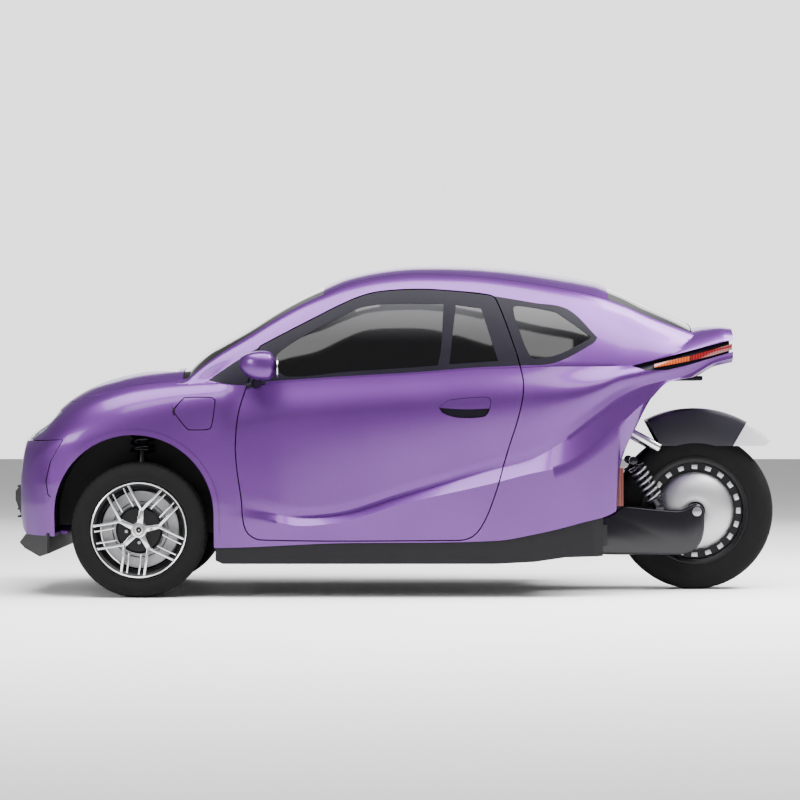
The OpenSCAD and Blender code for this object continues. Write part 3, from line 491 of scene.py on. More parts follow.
def faired(line, x, column):
    raw = exact(line, x, column)
    mean = sum(w * exact(line, x + o, column) for o, w in zip(BATTEN_MM, BATTEN_PULL))
    mean = mean / BATTEN_PULL.sum()
    first, last = line[0][0], line[-1][0]
    keep = ramp(x, first + 90, first + 200) * (1 - ramp(x, 790, 850))
    keep = keep + ramp(x, 1000, 1080) * (1 - ramp(x, last - 150, last - 70))
    return raw + keep * (mean - raw)


def point_on(line, x, inset=0.0):
    return np.stack([HALF_W - faired(line, x, 1) - inset, faired(line, x, 2)], axis=1)


def unit(way):
    return way / np.maximum(0.001, np.linalg.norm(way, axis=1, keepdims=True))


def toward(a, b):
    return unit(b - a)


def straight(a, b, steps):
    return [a + (b - a) * i / steps for i in range(1, steps + 1)]


def curve(a, b, leave, arrive, steps):
    length = np.linalg.norm(b - a, axis=1, keepdims=True)
    return [hermite(a, b, leave * length, arrive * length, i / steps) for i in range(1, steps + 1)]


def above(point, floor, by):
    return np.stack([point[:, 0], np.maximum(point[:, 1], floor[:, 1] + by)], axis=1)


# %% Sections through the lower body and the cabin
# Points of a section are s sill, r ridge, v valley, c crease, m shoulder, b belt and d deck below,
# and a foot, w waist, p drip, q seam and c crown above.
UP =np.array([[0.0, 1.0]])
IN = np.array([[-1.0, 0.0]])


def lower_section(x, inset, fine):
    s_z = exact(SILL, x, 2)
    if inset > 0:
        s_z = inset + np.maximum(s_z, exact(SILL, x + inset, 2))
    s = np.stack([HALF_W - exact(SILL, x, 1) - inset, s_z], axis=1)
    r = above(point_on(RIDGE, x, inset), s, 2)
    v = above(point_on(VALLEY, x, inset), r, 2)
    c = above(point_on(CREASE, x, inset), v, 2)
    m = above(point_on(SHOULDER, x, inset), c, 2)
    b = above(point_on(BELT, x, inset) - np.array([[0, 0.7 * inset]]), m, 2)
    middle = np.maximum(faired(DECK, x, 1) - inset, s[:, 1] + 12)
    d = np.stack([np.zeros_like(x), middle], axis=1)
    cabin = (ramp(x, -760, -640) - ramp(x, 860, 1000))[:, None]
    turn = unit(toward(m, b) + toward(b, d))
    arrive = unit((1 - cabin) * turn + cabin * toward(m, b))
    leave = unit((1 - cabin) * turn + cabin * toward(b, d))
    run = [s] + straight(s, r, 3 * fine) + straight(r, v, 3 * fine) + straight(v, c, 2 * fine)
    run += curve(c, m, toward(c, m), UP, 5 * fine) + curve(m, b, UP, arrive, 6 * fine)
    return run + curve(b, d, leave, IN, 10 * fine)


def upper_section(x, inset, fine):
    w = point_on(BELT, x, inset) - np.array([[6.0, 0.0]])
    low = w[:, 1] - 50
    if inset > 0:
        floor = inset + np.maximum(exact(SILL, x, 2), exact(SILL, x + inset, 2)) + 6
        low = np.minimum(w[:, 1] - 20, np.maximum(w[:, 1] - 200, floor))
    a = np.stack([w[:, 0], low], axis=1)
    w = above(w, a, 2)
    p = above(point_on(DRIP, x, inset), w, 4)
    q = above(point_on(SEAM, x, 0.8 * inset) - np.array([[0, 0.7 * inset]]), p, 2)
    c = np.stack([np.zeros_like(x), np.maximum(faired(CROWN, x, 1) - inset, q[:, 1] + 1)], axis=1)
    t = unit(toward(w, p) + toward(p, q))
    f = unit(toward(p, q) + toward(q, c))
    run = [a, w] + curve(w, p, unit(toward(w, p) + 0.5 * UP), t, 6 * fine)
    return run + curve(p, q, t, f, 4 * fine) + curve(q, c, f, IN, 8 * fine)


def loft(name, x, half):
    section = np.stack(half, axis=1)
    other = section[:, -2::-1] * np.array([-1.0, 1.0])
    ring = np.concatenate([section, other], axis=1)
    rows, count = ring.shape[:2]
    along_x = np.broadcast_to(x[:, None, None], (rows, count, 1))
    points = np.concatenate([along_x, ring], axis=2).reshape(-1, 3) * MM
    j = np.arange(count)
    faces = []
    for i in range(rows - 1):
        near, far = i * count, (i + 1) * count
        k = (j + 1) % count
        faces += np.stack([near + j, far + j, far + k, near + k], axis=1).tolist()
    faces.append(j.tolist())
    faces.append(((rows - 1) * count + j[::-1]).tolist())
    mesh = bpy.data.meshes.new(name)
    mesh.from_pydata(points.tolist(), [], faces)
    solid = bpy.data.objects.new(name, mesh)
    bpy.context.collection.objects.link(solid)
    return outward(solid)


# Sections stand closest at the nose and where the body narrows behind the doors.
FINE_STEP_MM, MIDDLE_STEP_MM, COARSE_STEP_MM = 10.0, 12.0, 24.0
NOSE_X, WAIST_X, TAIL_X = -1575, (888, 925), 1400
CABIN_X = (-905, 1280)


def body_solid(name, inset, fine=2, step=FINE_STEP_MM):
    cut = max(0, inset)
    nose, tail = NOSE_X + cut, TAIL_X - cut
    x = np.concatenate([
        np.linspace(nose, nose + 40, 12 if fine > 1 else 6),
        np.arange(nose + 46, WAIST_X[0] - 3, step), np.linspace(*WAIST_X, 10),
        np.arange(WAIST_X[1] + 7, tail - 4, step), [tail],
    ])
    lower = loft(name + "_lower", x, lower_section(x, inset, fine))
    first, last = CABIN_X[0] + cut, CABIN_X[1] - cut
    x = np.append(np.arange(first, last - 4, step), last)
    upper = loft(name + "_upper", x, upper_section(x, inset, fine))
    return lower, upper


def whole_body(name, inset, fine, step):
    lower, upper = body_solid(name, inset, fine, step)
    combine(lower, "UNION", upper)
    scrap(upper)
    return lower


PANEL_MM = 14.0
skin_lower, skin_upper = body_solid("skin", 0.0)
skin_body = copy_of(skin_lower, "skin_body")
combine(skin_body, "UNION", skin_upper)
core = whole_body("core", PANEL_MM, 1, COARSE_STEP_MM)
lower_shell = combine(skin_lower, "DIFFERENCE", core)
shell = combine(copy_of(skin_body, "shell"), "DIFFERENCE", core)
print("shell", len(shell.data.polygons), "faces")

# %% [markdown]
# ## Shut lines and openings
#
# Panels are cut from the shell as a stamping is trimmed in a press: by an outline seen from the side or
# from above. An outline is a few measured points with a smooth curve through them, or a sharp corner
# where the real edge has one. Each outline becomes a prism, made from a filled circle whose points are
# put on the curve and which is then extruded.

# %% Outlines and the prisms that cut with them
def flowing(points, corners=(), steps=6):
    p = np.array(points, float)
    count = len(p)
    curve_points = []
    for i in range(count):
        a, b = p[i], p[(i + 1) % count]
        chord = b - a
        length = np.linalg.norm(chord)
        leave = chord if i in corners else b - p[i - 1]
        arrive = chord if (i + 1) % count in corners else p[(i + 2) % count] - a
        leave = leave / np.linalg.norm(leave) * length
        arrive = arrive / np.linalg.norm(arrive) * length
        curve_points += [hermite(a, b, leave, arrive, k / steps) for k in range(steps)]
    return np.array(curve_points)


def grown(outline, by):
    p = np.array(outline, float)
    ahead, back = np.roll(p, -1, axis=0), np.roll(p, 1, axis=0)
    way = unit(ahead - p) + unit(p - back)
    normal = unit(np.stack([way[:, 1], -way[:, 0]], axis=1))
    area = np.sum(p[:, 0] * ahead[:, 1] - ahead[:, 0] * p[:, 1])
    return p + by * np.sign(area) * normal


def prism(outline, low, high, side_view=True):
    clear_selection()
    bpy.ops.mesh.primitive_circle_add(vertices=len(outline), fill_type="NGON")
    block = bpy.context.object
    for point, (u, v) in zip(block.data.vertices, outline):
        point.co = (u * MM, low * MM, v * MM) if side_view else (u * MM, v * MM, low * MM)
    rise = (high - low) * MM
    edit(block)
    bpy.ops.mesh.extrude_region_move(
        TRANSFORM_OT_translate={"value": (0, rise, 0) if side_view else (0, 0, rise)}
    )
    bpy.ops.mesh.select_all(action="SELECT")
    bpy.ops.mesh.normals_make_consistent(inside=False)
    done_editing()
    return block


def box_of(low, high):
    corners = [(low[0], low[2]), (high[0], low[2]), (high[0], high[2]), (low[0], high[2])]
    return prism(corners, low[1], high[1])


DOOR = flowing([
    (-617, 863), (-648, 757), (-660, 630), (-655, 536), (-636, 401), (-628, 311), (-606, 262),
    (-556, 240), (200, 238), (290, 246), (340, 292), (390, 405), (451, 610), (496, 757), (513, 863),
    (501, 945), (468, 1056), (405, 1224), (380, 1242), (250, 1257), (93, 1266), (-60, 1258),
    (-140, 1241), (-230, 1204), (-325, 1156), (-450, 1091), (-565, 1030),
], corners=(0, 26))
GLASS_BAND = flowing([
    (-778, 890), (-690, 874), (-617, 871), (-538, 886), (-203, 908), (92, 925), (305, 942), (501, 951),
    (645, 962), (806, 1043), (826, 1068), (705, 1186), (560, 1213), (395, 1240), (250, 1257),
    (93, 1266), (-60, 1258), (-140, 1241), (-230, 1204), (-325, 1156), (-450, 1091), (-596, 1012),
    (-704, 942),
], corners=(0, 10))
BELT_CUT = [
    (-900, 874), (-617, 871), (-538, 886), (-203, 908), (92, 925), (305, 942), (501, 951), (700, 960),
    (700, 1500), (-900, 1500),
]
FRONT_PANE = flowing([
    (-440, 905), (-203, 926), (40, 942), (165, 952), (178, 1020), (190, 1206), (-30, 1208),
    (-150, 1192), (-240, 1150), (-380, 1078), (-470, 1020), (-500, 985), (-490, 930),
], corners=(3, 5))
VENT_PANE = flowing([(212, 956), (412, 970), (345, 1188), (240, 1203)], corners=(0, 1, 2, 3))
QUARTER_PANE = flowing([
    (500, 1100), (545, 990), (575, 980), (660, 997), (780, 1056), (796, 1070), (780, 1085), (674, 1160),
    (650, 1174), (500, 1200), (478, 1190),
])
BUMPER = [
    (-1700, 60), (-1700, 640), (-1500, 640), (-1372, 646), (-1425, 560), (-1445, 480), (-1436, 420),
    (-1380, 380), (-1380, 60),
]
FENDER = [
    (-1700, 60), (-1700, 900), (-905, 888), (-778, 886), (-690, 864), (-600, 863), (-600, 290),
    (-628, 280), (-628, 60),
]
SIDE = [
    (-905, 888), (-778, 886), (-690, 864), (-600, 863), (-600, 290), (-628, 280), (-628, 60), (1500, 60),
    (1500, 1500), (-905, 1500),
]
LAMP_SIDE = [(-1620, 628), (-1372, 646), (-1330, 700), (-1400, 772), (-1540, 690)]
LAMP_PLAN = [(-1560, 235), (-1430, 335), (-1345, 530), (-1338, 582), (-1450, 545), (-1620, 430)]
TAIL_LAMP = [
    (966, 951), (1349, 1050), (1500, 1086), (1500, 1040), (1340, 994), (1195, 952), (1112, 933),
    (1026, 932),
]
FLAP = flowing([
    (-915, 766), (-911, 777), (-880, 813), (-868, 821), (-764, 821), (-748, 814), (-745, 800),
    (-759, 703), (-771, 690), (-846, 687), (-860, 692), (-909, 752),
])
HOOD_HALF = [
    (-1545, 0), (-1538, 220), (-1425, 330), (-1330, 545), (-1219, 606), (-1060, 618), (-905, 630),
    (-905, 0),
]
REAR = [(870, 300), (870, 860), (960, 900), (1235, 985), (1235, 1400), (1500, 1400), (1500, 300)]
HANDLE_BOX = flowing([
    (169, 778), (202, 806), (243, 815), (349, 823), (376, 818), (382, 798), (365, 749), (329, 738),
    (243, 738), (186, 756),
], corners=(0,))
HANDLE_BAR = flowing([
    (171, 778), (202, 804), (243, 813), (349, 821), (374, 816), (380, 798), (374, 775), (270, 772),
], corners=(0, 6))
ARCH_X, ARCH_Z, ARCH_R = -1080.0, 338.0, 329.0


def arch_outline(radius):
    turn = np.radians(np.arange(0, 181, 3))
    bow = np.stack([ARCH_X + radius * np.cos(turn), ARCH_Z + radius * np.sin(turn)], axis=1)
    return np.concatenate([bow, [(ARCH_X - radius, 0), (ARCH_X + radius, 0)]])


def plan_band(line, first, last, inset):
    x = np.linspace(first, last, 48)
    y = HALF_W - faired(line, x, 1) - inset
    return np.concatenate([np.stack([x, y], axis=1), np.stack([x, -y], axis=1)[::-1]])


def top_band(ends, inset):
    return plan_band(SEAM, ends[0] + inset, ends[1] - inset, 8 + inset)


# %% Press tools
# One tool for each outline. A tool that trims a neighbour is a little larger, which leaves the shut
# line. Outlines of the side reach from far outside the car to a depth, plans from low to high.
SHUT_MM = 4.5
FAR, FENDER_IN, NEAR = -1500.0, -400.0, -200.0
SCREEN_X, ROOF_X, BACK_X = (-880, -306), (-306, 880), (880, 1228)
half_hood = np.array(HOOD_HALF, float)
hood_plan = np.concatenate([half_hood[:-1], (half_hood * np.array([1, -1]))[-1:0:-1]])
tool = {
    "under_fender": box_of((-1700, -676, 0), (-500, 0, 290)),
    "under_side": box_of((-700, -650, 0), (740, 1, 345)),
}
for name, outline, inside in (
    ("door", DOOR, NEAR),
    ("door_shut", grown(DOOR, SHUT_MM + 0.5), NEAR),
    ("door_inner", grown(DOOR, -22), NEAR),
    ("band", GLASS_BAND, NEAR),
    ("belt", BELT_CUT, NEAR),
    ("bumper", BUMPER, -FAR),
    ("bumper_shut", grown(BUMPER, SHUT_MM), -FAR),
    ("fender", FENDER, FENDER_IN),
    ("side", SIDE, 0),
    ("flap", grown(FLAP, -3), NEAR),
    ("flap_shut", grown(FLAP, 1), NEAR),
    ("arch", arch_outline(ARCH_R), FENDER_IN),
    ("rear", REAR, -FAR),
    ("tail_lamp", TAIL_LAMP, -FAR),
    ("handle", HANDLE_BOX, NEAR),
    ("bar", HANDLE_BAR, NEAR),
    ("front_pane", FRONT_PANE, NEAR),
    ("vent_pane", VENT_PANE, NEAR),
    ("quarter_pane", QUARTER_PANE, NEAR),
):
    tool[name] = prism(outline, FAR, inside)
for name, plan, low, high in (
    ("hood", hood_plan, 600, 930),
    ("hood_shut", grown(hood_plan, SHUT_MM), 600, 935),
    ("screen", top_band(SCREEN_X, 0), 862, 2000),
    ("screen_shut", top_band(SCREEN_X, -3), 860, 2000),
    ("roof", top_band(ROOF_X, 0), 900, 2000),
    ("roof_shut", top_band(ROOF_X, -4), 900, 2000),
    ("back", top_band(BACK_X, 0), 992, 2000),
    ("back_shut", top_band(BACK_X, -3), 990, 2000),
    ("rear_plan", plan_band(SILL, 860, 1460, 50), 0, 3000),
):
    tool[name] = prism(plan, low, high, side_view=False)
lamp_plan_tool = prism(LAMP_PLAN, 500, 900, side_view=False)
lamp_plan_tool.scale.y = -1
pick(lamp_plan_tool)
bpy.ops.object.transform_apply(scale=True)
outward(lamp_plan_tool)
tool["lamp"] = combine(prism(LAMP_SIDE, FAR, 0), "INTERSECT", lamp_plan_tool)
tool["lamp_shut"] = combine(prism(grown(LAMP_SIDE, 2), FAR, 0), "INTERSECT", lamp_plan_tool)
for name in ("arch", "lamp", "lamp_shut"):
    tool[name + "_right"] = mirrored(tool[name], name + "_right")
tool["rear_cut"] = combine(copy_of(tool["rear"], "rear_cut"), "INTERSECT", tool["rear_plan"])
print("press tools", len(tool))


# %% [markdown]
# ## Painted panels
#
# Each panel is a copy of the shell, kept inside its own tool and trimmed by its neighbours' tools.
# The left side is made, and the right side is its mirror image.

# %% Stamp the panels
def stamp(name, sheet, keep, trim):
    panel = copy_of(sheet, name)
    combine(panel, "INTERSECT", *[tool[k] for k in keep])
    combine(panel, "DIFFERENCE", *[tool[k] for k in trim])
    return smooth(panel, SHEET_DEG)


hood = stamp("hood_panel", lower_shell, ["hood"], ["bumper_shut", "lamp_shut", "lamp_shut_right"])
bumper = stamp("bumper_cover", lower_shell, ["bumper"], ["arch", "arch_right"])
fender = stamp(
    "fender_blank", shell, ["fender"],
    ["bumper_shut", "hood_shut", "lamp_shut", "arch", "door_shut", "under_fender"],
)
side = stamp(
    "body_side_left", shell, ["side"],
    ["door_shut", "band", "screen_shut", "back_shut", "roof_shut", "rear_cut", "tail_lamp",
     "under_side"],
)
roof = stamp("roof_panel", shell, ["roof"], [])
rear = stamp("rear_panel_skin", lower_shell, ["rear_cut"], ["tail_lamp", "back_shut"])
door = stamp("door_skin_left", shell, ["door"], ["belt", "handle"])
fender_left = combine(copy_of(fender, "fender_panel_left"), "DIFFERENCE", tool["flap_shut"])
fender_right = mirrored(fender, "fender_panel_right")
scrap(fender)
for piece, node in (
    (hood, "hood"), (bumper, "bumper"), (roof, "roof"), (rear, "rear_panel"),
    (fender_left, "fender_left"), (fender_right, "fender_right"),
):
    hand_over(smooth(piece, SHEET_DEG), paint, "car", [node])
    print(piece.name, len(piece.data.polygons), "faces")
hand_over_pair(side, SHEET_DEG, paint, "car", ["side_left"])
hand_over_pair(door, SHEET_DEG, paint, "door_left_body", ["door_left"])
print("side", len(side.data.polygons), "faces, door", len(door.data.polygons), "faces")

# %% [markdown]
# ## Windows
#
# The side windows are one dark band: gloss black frames flush with the paint, and panes set in a little.
# The panes come from a thinner shell, so that they keep the curve of the cabin.

# %% Frames and panes
GLASS_IN_MM, GLASS_BACK_MM = 2.0, 7.0
glazing = whole_body("glazing", GLASS_IN_MM, 2, MIDDLE_STEP_MM)
glazing_core = whole_body("glazing_core", GLASS_BACK_MM, 2, MIDDLE_STEP_MM)
combine(glazing, "DIFFERENCE", glazing_core)
scrap(glazing_core)
panes = ["front_pane", "vent_pane", "quarter_pane"]
frame_left = stamp("door_frame_skin_left", shell, ["band", "door"], panes)
trim_left = stamp("window_trim_skin_left", shell, ["band"], ["door_shut"] + panes)
quarter_left = stamp("quarter_pane_left", glazing, ["quarter_pane"], [])
door_pane = stamp("door_pane_left", glazing, ["front_pane"], [])
vent_pane = stamp("vent_pane_left", glazing, ["vent_pane"], [])
door_glass = smooth(joined("door_glass_pane_left", [door_pane, vent_pane]), FINE_DEG)
screen = stamp("windscreen_pane", glazing, ["screen"], [])
back = stamp("back_window_pane", glazing, ["back"], [])
for piece, finish, body, node, slot in (
    (frame_left, gloss_black, "door_left_body", "door_frame_left", "black_plastic"),
    (trim_left, gloss_black, "car", "window_trim_left", "black_plastic"),
    (quarter_left, glass, "car", "quarter_glass_left", "tinted_glass"),
    (door_glass, glass, "door_left_body", "door_glass_left", "tinted_glass"),
):
    hand_over_pair(piece, SHEET_DEG, finish, body, [node])
hand_over(screen, glass, "car", ["windscreen"])
hand_over(back, glass, "car", ["back_window"])
print("panes", len(door_glass.data.polygons), "faces in a door")

# %% [markdown]
# ## What lies behind the paint
#
# A door is a sandwich: painted skin outside, a grained card inside. The same holds for the pillars and
# the roof. The linings are the layer between the skin and the inside of the wall, trimmed by the same
# tools, so they follow every curve of the panels that they back.

# %% Linings, door cards and handle cups
WALL_MM = 40.0
inner = whole_body("inner", WALL_MM, 1, COARSE_STEP_MM)
lining = combine(copy_of(core, "lining"), "DIFFERENCE", inner)
card = stamp("door_card_left", lining, ["door_inner"], ["belt", "handle"])
cup = stamp("handle_cup_left", lining, ["handle"], [])
bar = stamp("pull_handle_left", shell, ["bar"], [])
side_lining = stamp(
    "side_lining_left", lining, ["side"],
    ["door_shut", "band", "screen", "back", "roof", "rear_cut", "tail_lamp", "under_side"],
)
headliner = stamp("headliner", lining, ["roof"], [])
for piece, finish, body, slot, stands_for in (
    (card, grained_black, "door_left_body", None, []),
    (cup, gloss_black, "door_left_body", "black_plastic", []),
    (bar, paint, "door_left_body", "body_paint", ["door_handle_left"]),
    (side_lining, grained_black, "car", None, []),
):
    hand_over_pair(piece, SHEET_DEG, finish, body, stands_for)
hand_over(headliner, cloth, "car")
scrap(inner, lining)
print("linings", len(side_lining.data.polygons), "faces a side")

# %% [markdown]
# ## Wheel arch lips
#
# The sheet is rolled outward along each front arch, which catches a line of light. The lip is a ring cut
# from a body that stands a little proud of the paint.

# %% Arch lips
LIP_MM, LIP_W_MM, LIP_FOOT = 7.0, 21.0, 262.0
proud, proud_upper = body_solid("proud", -LIP_MM)
scrap(proud_upper)
ring = prism(arch_outline(ARCH_R + LIP_W_MM), FAR, FENDER_IN)
hole = prism(arch_outline(ARCH_R), FAR, FENDER_IN + 10)
combine(ring, "DIFFERENCE", hole, tool["bumper"])
below = box_of((-1700, FAR, 0), (-500, 0, LIP_FOOT))
lip = combine(proud, "INTERSECT", ring)
combine(lip, "DIFFERENCE", core, below)
scrap(ring, hole, below)
lip.name = lip.data.name = "arch_lip_left"
hand_over_pair(smooth(lip, SHEET_DEG), SHEET_DEG, paint, "car")
print("arch lip", len(lip.data.polygons), "faces")


# %% [markdown]
# ## Turned and round pieces
#
# Tyres, rims, discs and covers are turned: a circle is extruded ring by ring along its axis, and each
# new ring is scaled to the next radius of the profile, exactly as one would do it by hand.
# A profile lists how far along the axis each ring is and its radius, in millimetres.

# %% Helpers for turned pieces, rods and bars
def turned(name, profile, segments=96, closed=True):
    clear_selection()
    first, radius = profile[0]
    bpy.ops.mesh.primitive_circle_add(
        vertices=segments, radius=radius * MM, location=(0, first * MM, 0), rotation=(math.pi / 2, 0, 0)
    )
    bpy.ops.object.transform_apply(location=True, rotation=True, scale=True)
    piece = bpy.context.object
    piece.name = piece.data.name = name
    edit(piece)
    rings = list(profile[1:]) + ([profile[0]] if closed else [])
    for at, wide in rings:
        bpy.ops.mesh.extrude_edges_move(TRANSFORM_OT_translate={"value": (0, (at - first) * MM, 0)})
        scale = wide / radius
        bpy.ops.transform.resize(value=(scale, 1, scale), center_override=(0, at * MM, 0))
        first, radius = at, wide
    if not closed:
        bpy.ops.mesh.edge_face_add()
        bpy.ops.mesh.select_all(action="DESELECT")
        bpy.ops.mesh.select_non_manifold()
        bpy.ops.mesh.edge_face_add()
    done_editing()
    return outward(piece)


def rod(name, start, end, r_start, r_end=None, segments=24):
    a, b = np.array(start, float), np.array(end, float)
    way = b - a
    length = np.linalg.norm(way)
    flat = math.hypot(way[0], way[1])
    clear_selection()
    bpy.ops.mesh.primitive_cone_add(
        vertices=segments, radius1=r_start * MM, radius2=(r_start if r_end is None else r_end) * MM,
        depth=length * MM, location=tuple((a + b) / 2 * MM),
        rotation=(0, math.atan2(flat, way[2]), math.atan2(way[1], way[0])),
    )
    bpy.ops.object.transform_apply(location=True, rotation=True, scale=True)
    piece = bpy.context.object
    piece.name = piece.data.name = name
    modify(
        piece, "BEVEL", width=1.5 * MM, segments=2, limit_method="ANGLE",
        angle_limit=math.radians(50),
    )
    return smooth(piece, ROUND_DEG)


def flat_bar(start, end, w_start, w_end, low, high, edge=2.0):
    a, b = np.array(start, float), np.array(end, float)
    way = (b - a) / np.linalg.norm(b - a)
    across = np.array([-way[1], way[0]])
    near, far = across * w_start / 2, across * w_end / 2
    piece = prism([a + near, a - near, b - far, b + far], low, high)
    modify(piece, "BEVEL", width=edge * MM, segments=2)
    return piece


def block_of(name, low, high, edge):
    piece = modify(box_of(low, high), "BEVEL", width=edge * MM, segments=3)
    piece.name = piece.data.name = name
    return smooth(piece, ROUND_DEG)


def moved(piece, by):
    pick(piece)
    bpy.ops.transform.translate(value=tuple(np.array(by) * MM))
    bpy.ops.object.transform_apply(location=True, rotation=True, scale=True)
    return piece


def spun(piece, degrees, name):
    twin = pick(copy_of(piece, name))
    twin.rotation_euler.y = math.radians(degrees)
    bpy.ops.object.transform_apply(location=False, rotation=True, scale=False)
    return twin


def coil(name, foot, top, radius, wire, turns):
    a, b = np.array(foot, float), np.array(top, float)
    way = (b - a) / np.linalg.norm(b - a)
    side = np.cross(way, (0, 1, 0))
    side /= np.linalg.norm(side)
    other = np.cross(way, side)
    count = int(turns * 24) + 1
    clear_selection()
    bpy.ops.curve.primitive_nurbs_path_add()
    path = bpy.context.object
    path.data.splines.clear()
    line = path.data.splines.new("POLY")
    line.points.add(count - 1)
    for i in range(count):
        turn = 2 * math.pi * turns * i / (count - 1)
        at = a + (b - a) * i / (count - 1) + radius * (side * math.cos(turn) + other * math.sin(turn))
        line.points[i].co = (*(at * MM), 1)
    path.data.bevel_depth = wire * MM
    path.data.bevel_resolution = 3
    path.data.use_fill_caps = True
    bpy.ops.object.convert(target="MESH")
    piece = bpy.context.object
    piece.name = piece.data.name = name
    bpy.ops.object.transform_apply(location=True, rotation=True, scale=True)
    return smooth(piece, ROUND_DEG)


# %% [markdown]
# ## Tyres
#
# A road tyre is turned from one closed profile: beads, bulging sidewalls with a rib that guards the
# rim, and a tread with grooves all round. Short sipes are then cut across both shoulders.

# %% Tyres
SIPES, SIPE_W_MM, GROOVE_MM = 56, 3.2, 7


def tyre(name, radius, width, rim):
    s, k = width / 2, width / 150
    half = [
        (46 * k, rim - 12), (60 * k, rim - 12), (61 * k, rim + 2), (s - 9, rim + 4), (s - 3, rim + 9),
        (s - 3, rim + 13), (s - 4.5, rim + 15), (s - 1.5, rim + 0.35 * (radius - rim)),
        (s, rim + 0.5 * (radius - rim)), (s - 1, radius - 34), (s - 2.5, radius - 31),
        (s - 3.5, radius - 28), (s - 8, radius - 18), (s - 14, radius - 10), (s - 22, radius - 5),
        (s - 34, radius - 1.5),
        (s - 41, radius), (s - 41.5, radius - GROOVE_MM), (s - 48, radius - GROOVE_MM),
        (s - 48.5, radius), (7, radius), (6.5, radius - GROOVE_MM),
    ]
    inside = [(-s + 22, rim + 12), (-s + 32, radius - 18), (s - 32, radius - 18), (s - 22, rim + 12)]
    profile = half + [(-y, r) for y, r in reversed(half)] + inside
    piece = turned(name, profile, 128)
    sipe = flat_bar(
        (0, radius - GROOVE_MM), (0, radius + 6), SIPE_W_MM, SIPE_W_MM, s - 40, s - 9, 0.2
    )
    sipes = []
    for i in range(SIPES):
        for flip in (False, True):
            twin = spun(sipe, 360 * (i + 0.5 * flip) / SIPES, "sipe")
            sipes.append(mirrored(twin, "sipe") if flip else twin)
            if flip:
                scrap(twin)
    cutter = joined("sipes", sipes)
    combine(piece, "DIFFERENCE", cutter)
    scrap(sipe, cutter)
    return smooth(piece, TURNED_DEG)


FRONT_R, FRONT_W, FRONT_RIM = 278.0, 150.0, 195.0
FRONT_AT = (-1058, -635, 278)
REAR_R, REAR_W, REAR_RIM = 336.0, 196.0, 222.0
REAR_AT = (1273, 0, 336)
tyre_left = moved(tyre("road_tyre_left", FRONT_R, FRONT_W, FRONT_RIM), FRONT_AT)
hand_over_pair(tyre_left, TURNED_DEG, rubber, "wheel_left", ["tyre_left"])
tyre_rear = moved(tyre("road_tyre_rear", REAR_R, REAR_W, REAR_RIM), REAR_AT)
hand_over(tyre_rear, rubber, "wheel_rear", ["tyre_rear"])
print("tyre", len(tyre_left.data.polygons), "faces")

# %% [markdown]
# ## Front wheels
#
# Each wheel is a cast alloy with five Y-shaped forks. Beside every arm of a fork runs a thin rib, and
# the pockets are black. The fork is modelled once and turned round the hub. Behind it sits the brake
# disc with its raised friction ring.

# %% Rim, forks and bolts
FORKS, FIRST_FORK = 5, 82.0
NODE_R, ARM_SPLAY, ARM_END_R = 90.0, 21.5, 190.0
FACE_OUT, FACE_IN = -67.0, -40.0
RIB_GAP, RIB_L = 23.0, 88.0
BOLT_CIRCLE_R, BOLT_R = 51.0, 7.0
barrel = turned("rim_barrel", [
    (-70, 195), (-66, 195), (-61, 183), (-44, 183), (-30, 173), (30, 173), (44, 183), (61, 183),
    (66, 195), (70, 195), (70, 188), (60, 176), (40, 172), (28, 165), (-28, 165), (-42, 172),
    (-56, 177), (-67, 187),
], 128)


def on_wheel(radius, degrees):
    turn = math.radians(degrees)
    return np.array([radius * math.cos(turn), radius * math.sin(turn)])


def fork(at):
    pieces = [flat_bar(on_wheel(26, at), on_wheel(NODE_R, at), 26, 17, FACE_OUT + 4, FACE_IN, 3.0)]
    for hand in (-1, 1):
        node, end = on_wheel(NODE_R - 8, at), on_wheel(ARM_END_R, at + hand * ARM_SPLAY)
        pieces.append(flat_bar(node, end, 11, 10, FACE_OUT, FACE_IN, 2.5))
        way = (end - node) / np.linalg.norm(end - node)
        foot = end + np.array([-way[1], way[0]]) * hand * RIB_GAP
        pieces.append(flat_bar(foot - way * RIB_L, foot - way * 2, 6, 7, FACE_OUT + 5, FACE_IN))
    return pieces


forks = []
for i in range(FORKS):
    forks += fork(FIRST_FORK - 360 / FORKS * i)
hub = turned(
    "hub_boss", [(-66, 20), (-64, 30), (-56, 36), (-36, 40), (-6, 44), (-6, 20)], 64, closed=False
)
flange = turned(
    "rim_edge", [(-70.5, 190.5), (-71.5, 192.5), (-70.5, 195.5), (-66, 195.5), (-66, 190)], 128
)
face_left = smooth(joined("rim_face_left", forks + [hub, flange]), TURNED_DEG)
plate = turned("hub_plate", [(-46, 20), (-46, 88), (-38, 96), (-24, 96), (-24, 20)], 64)
cap = turned("centre_cap", [(-68, 16), (-70, 19), (-69, 23), (-66, 25), (-58, 25), (-58, 16)], 48)
dome = turned("cap_dome", [(-66.5, 3), (-66, 12), (-64, 16.5), (-58, 16.5), (-58, 3)], 48)
bolts = []
for at in (90, 3, 272, 186):
    x, z = on_wheel(BOLT_CIRCLE_R, at)
    bolts.append(rod("wheel_bolt", (x, -69, z), (x, -40, z), BOLT_R, segments=6))
pockets_left = smooth(joined("rim_pockets_left", [barrel, plate, dome]), TURNED_DEG)
bolts_left = joined("wheel_bolts_left", bolts + [smooth(cap, ROUND_DEG)])
for piece, finish, stands_for in (
    (face_left, bright_alloy, ["rim_left"]), (pockets_left, pocket_black, ["rim_left"]),
    (bolts_left, ground_steel, []),
):
    moved(piece, FRONT_AT)
    hand_over_pair(piece, TURNED_DEG, finish, "wheel_left", stands_for)
print("rim face", len(face_left.data.polygons), "faces")

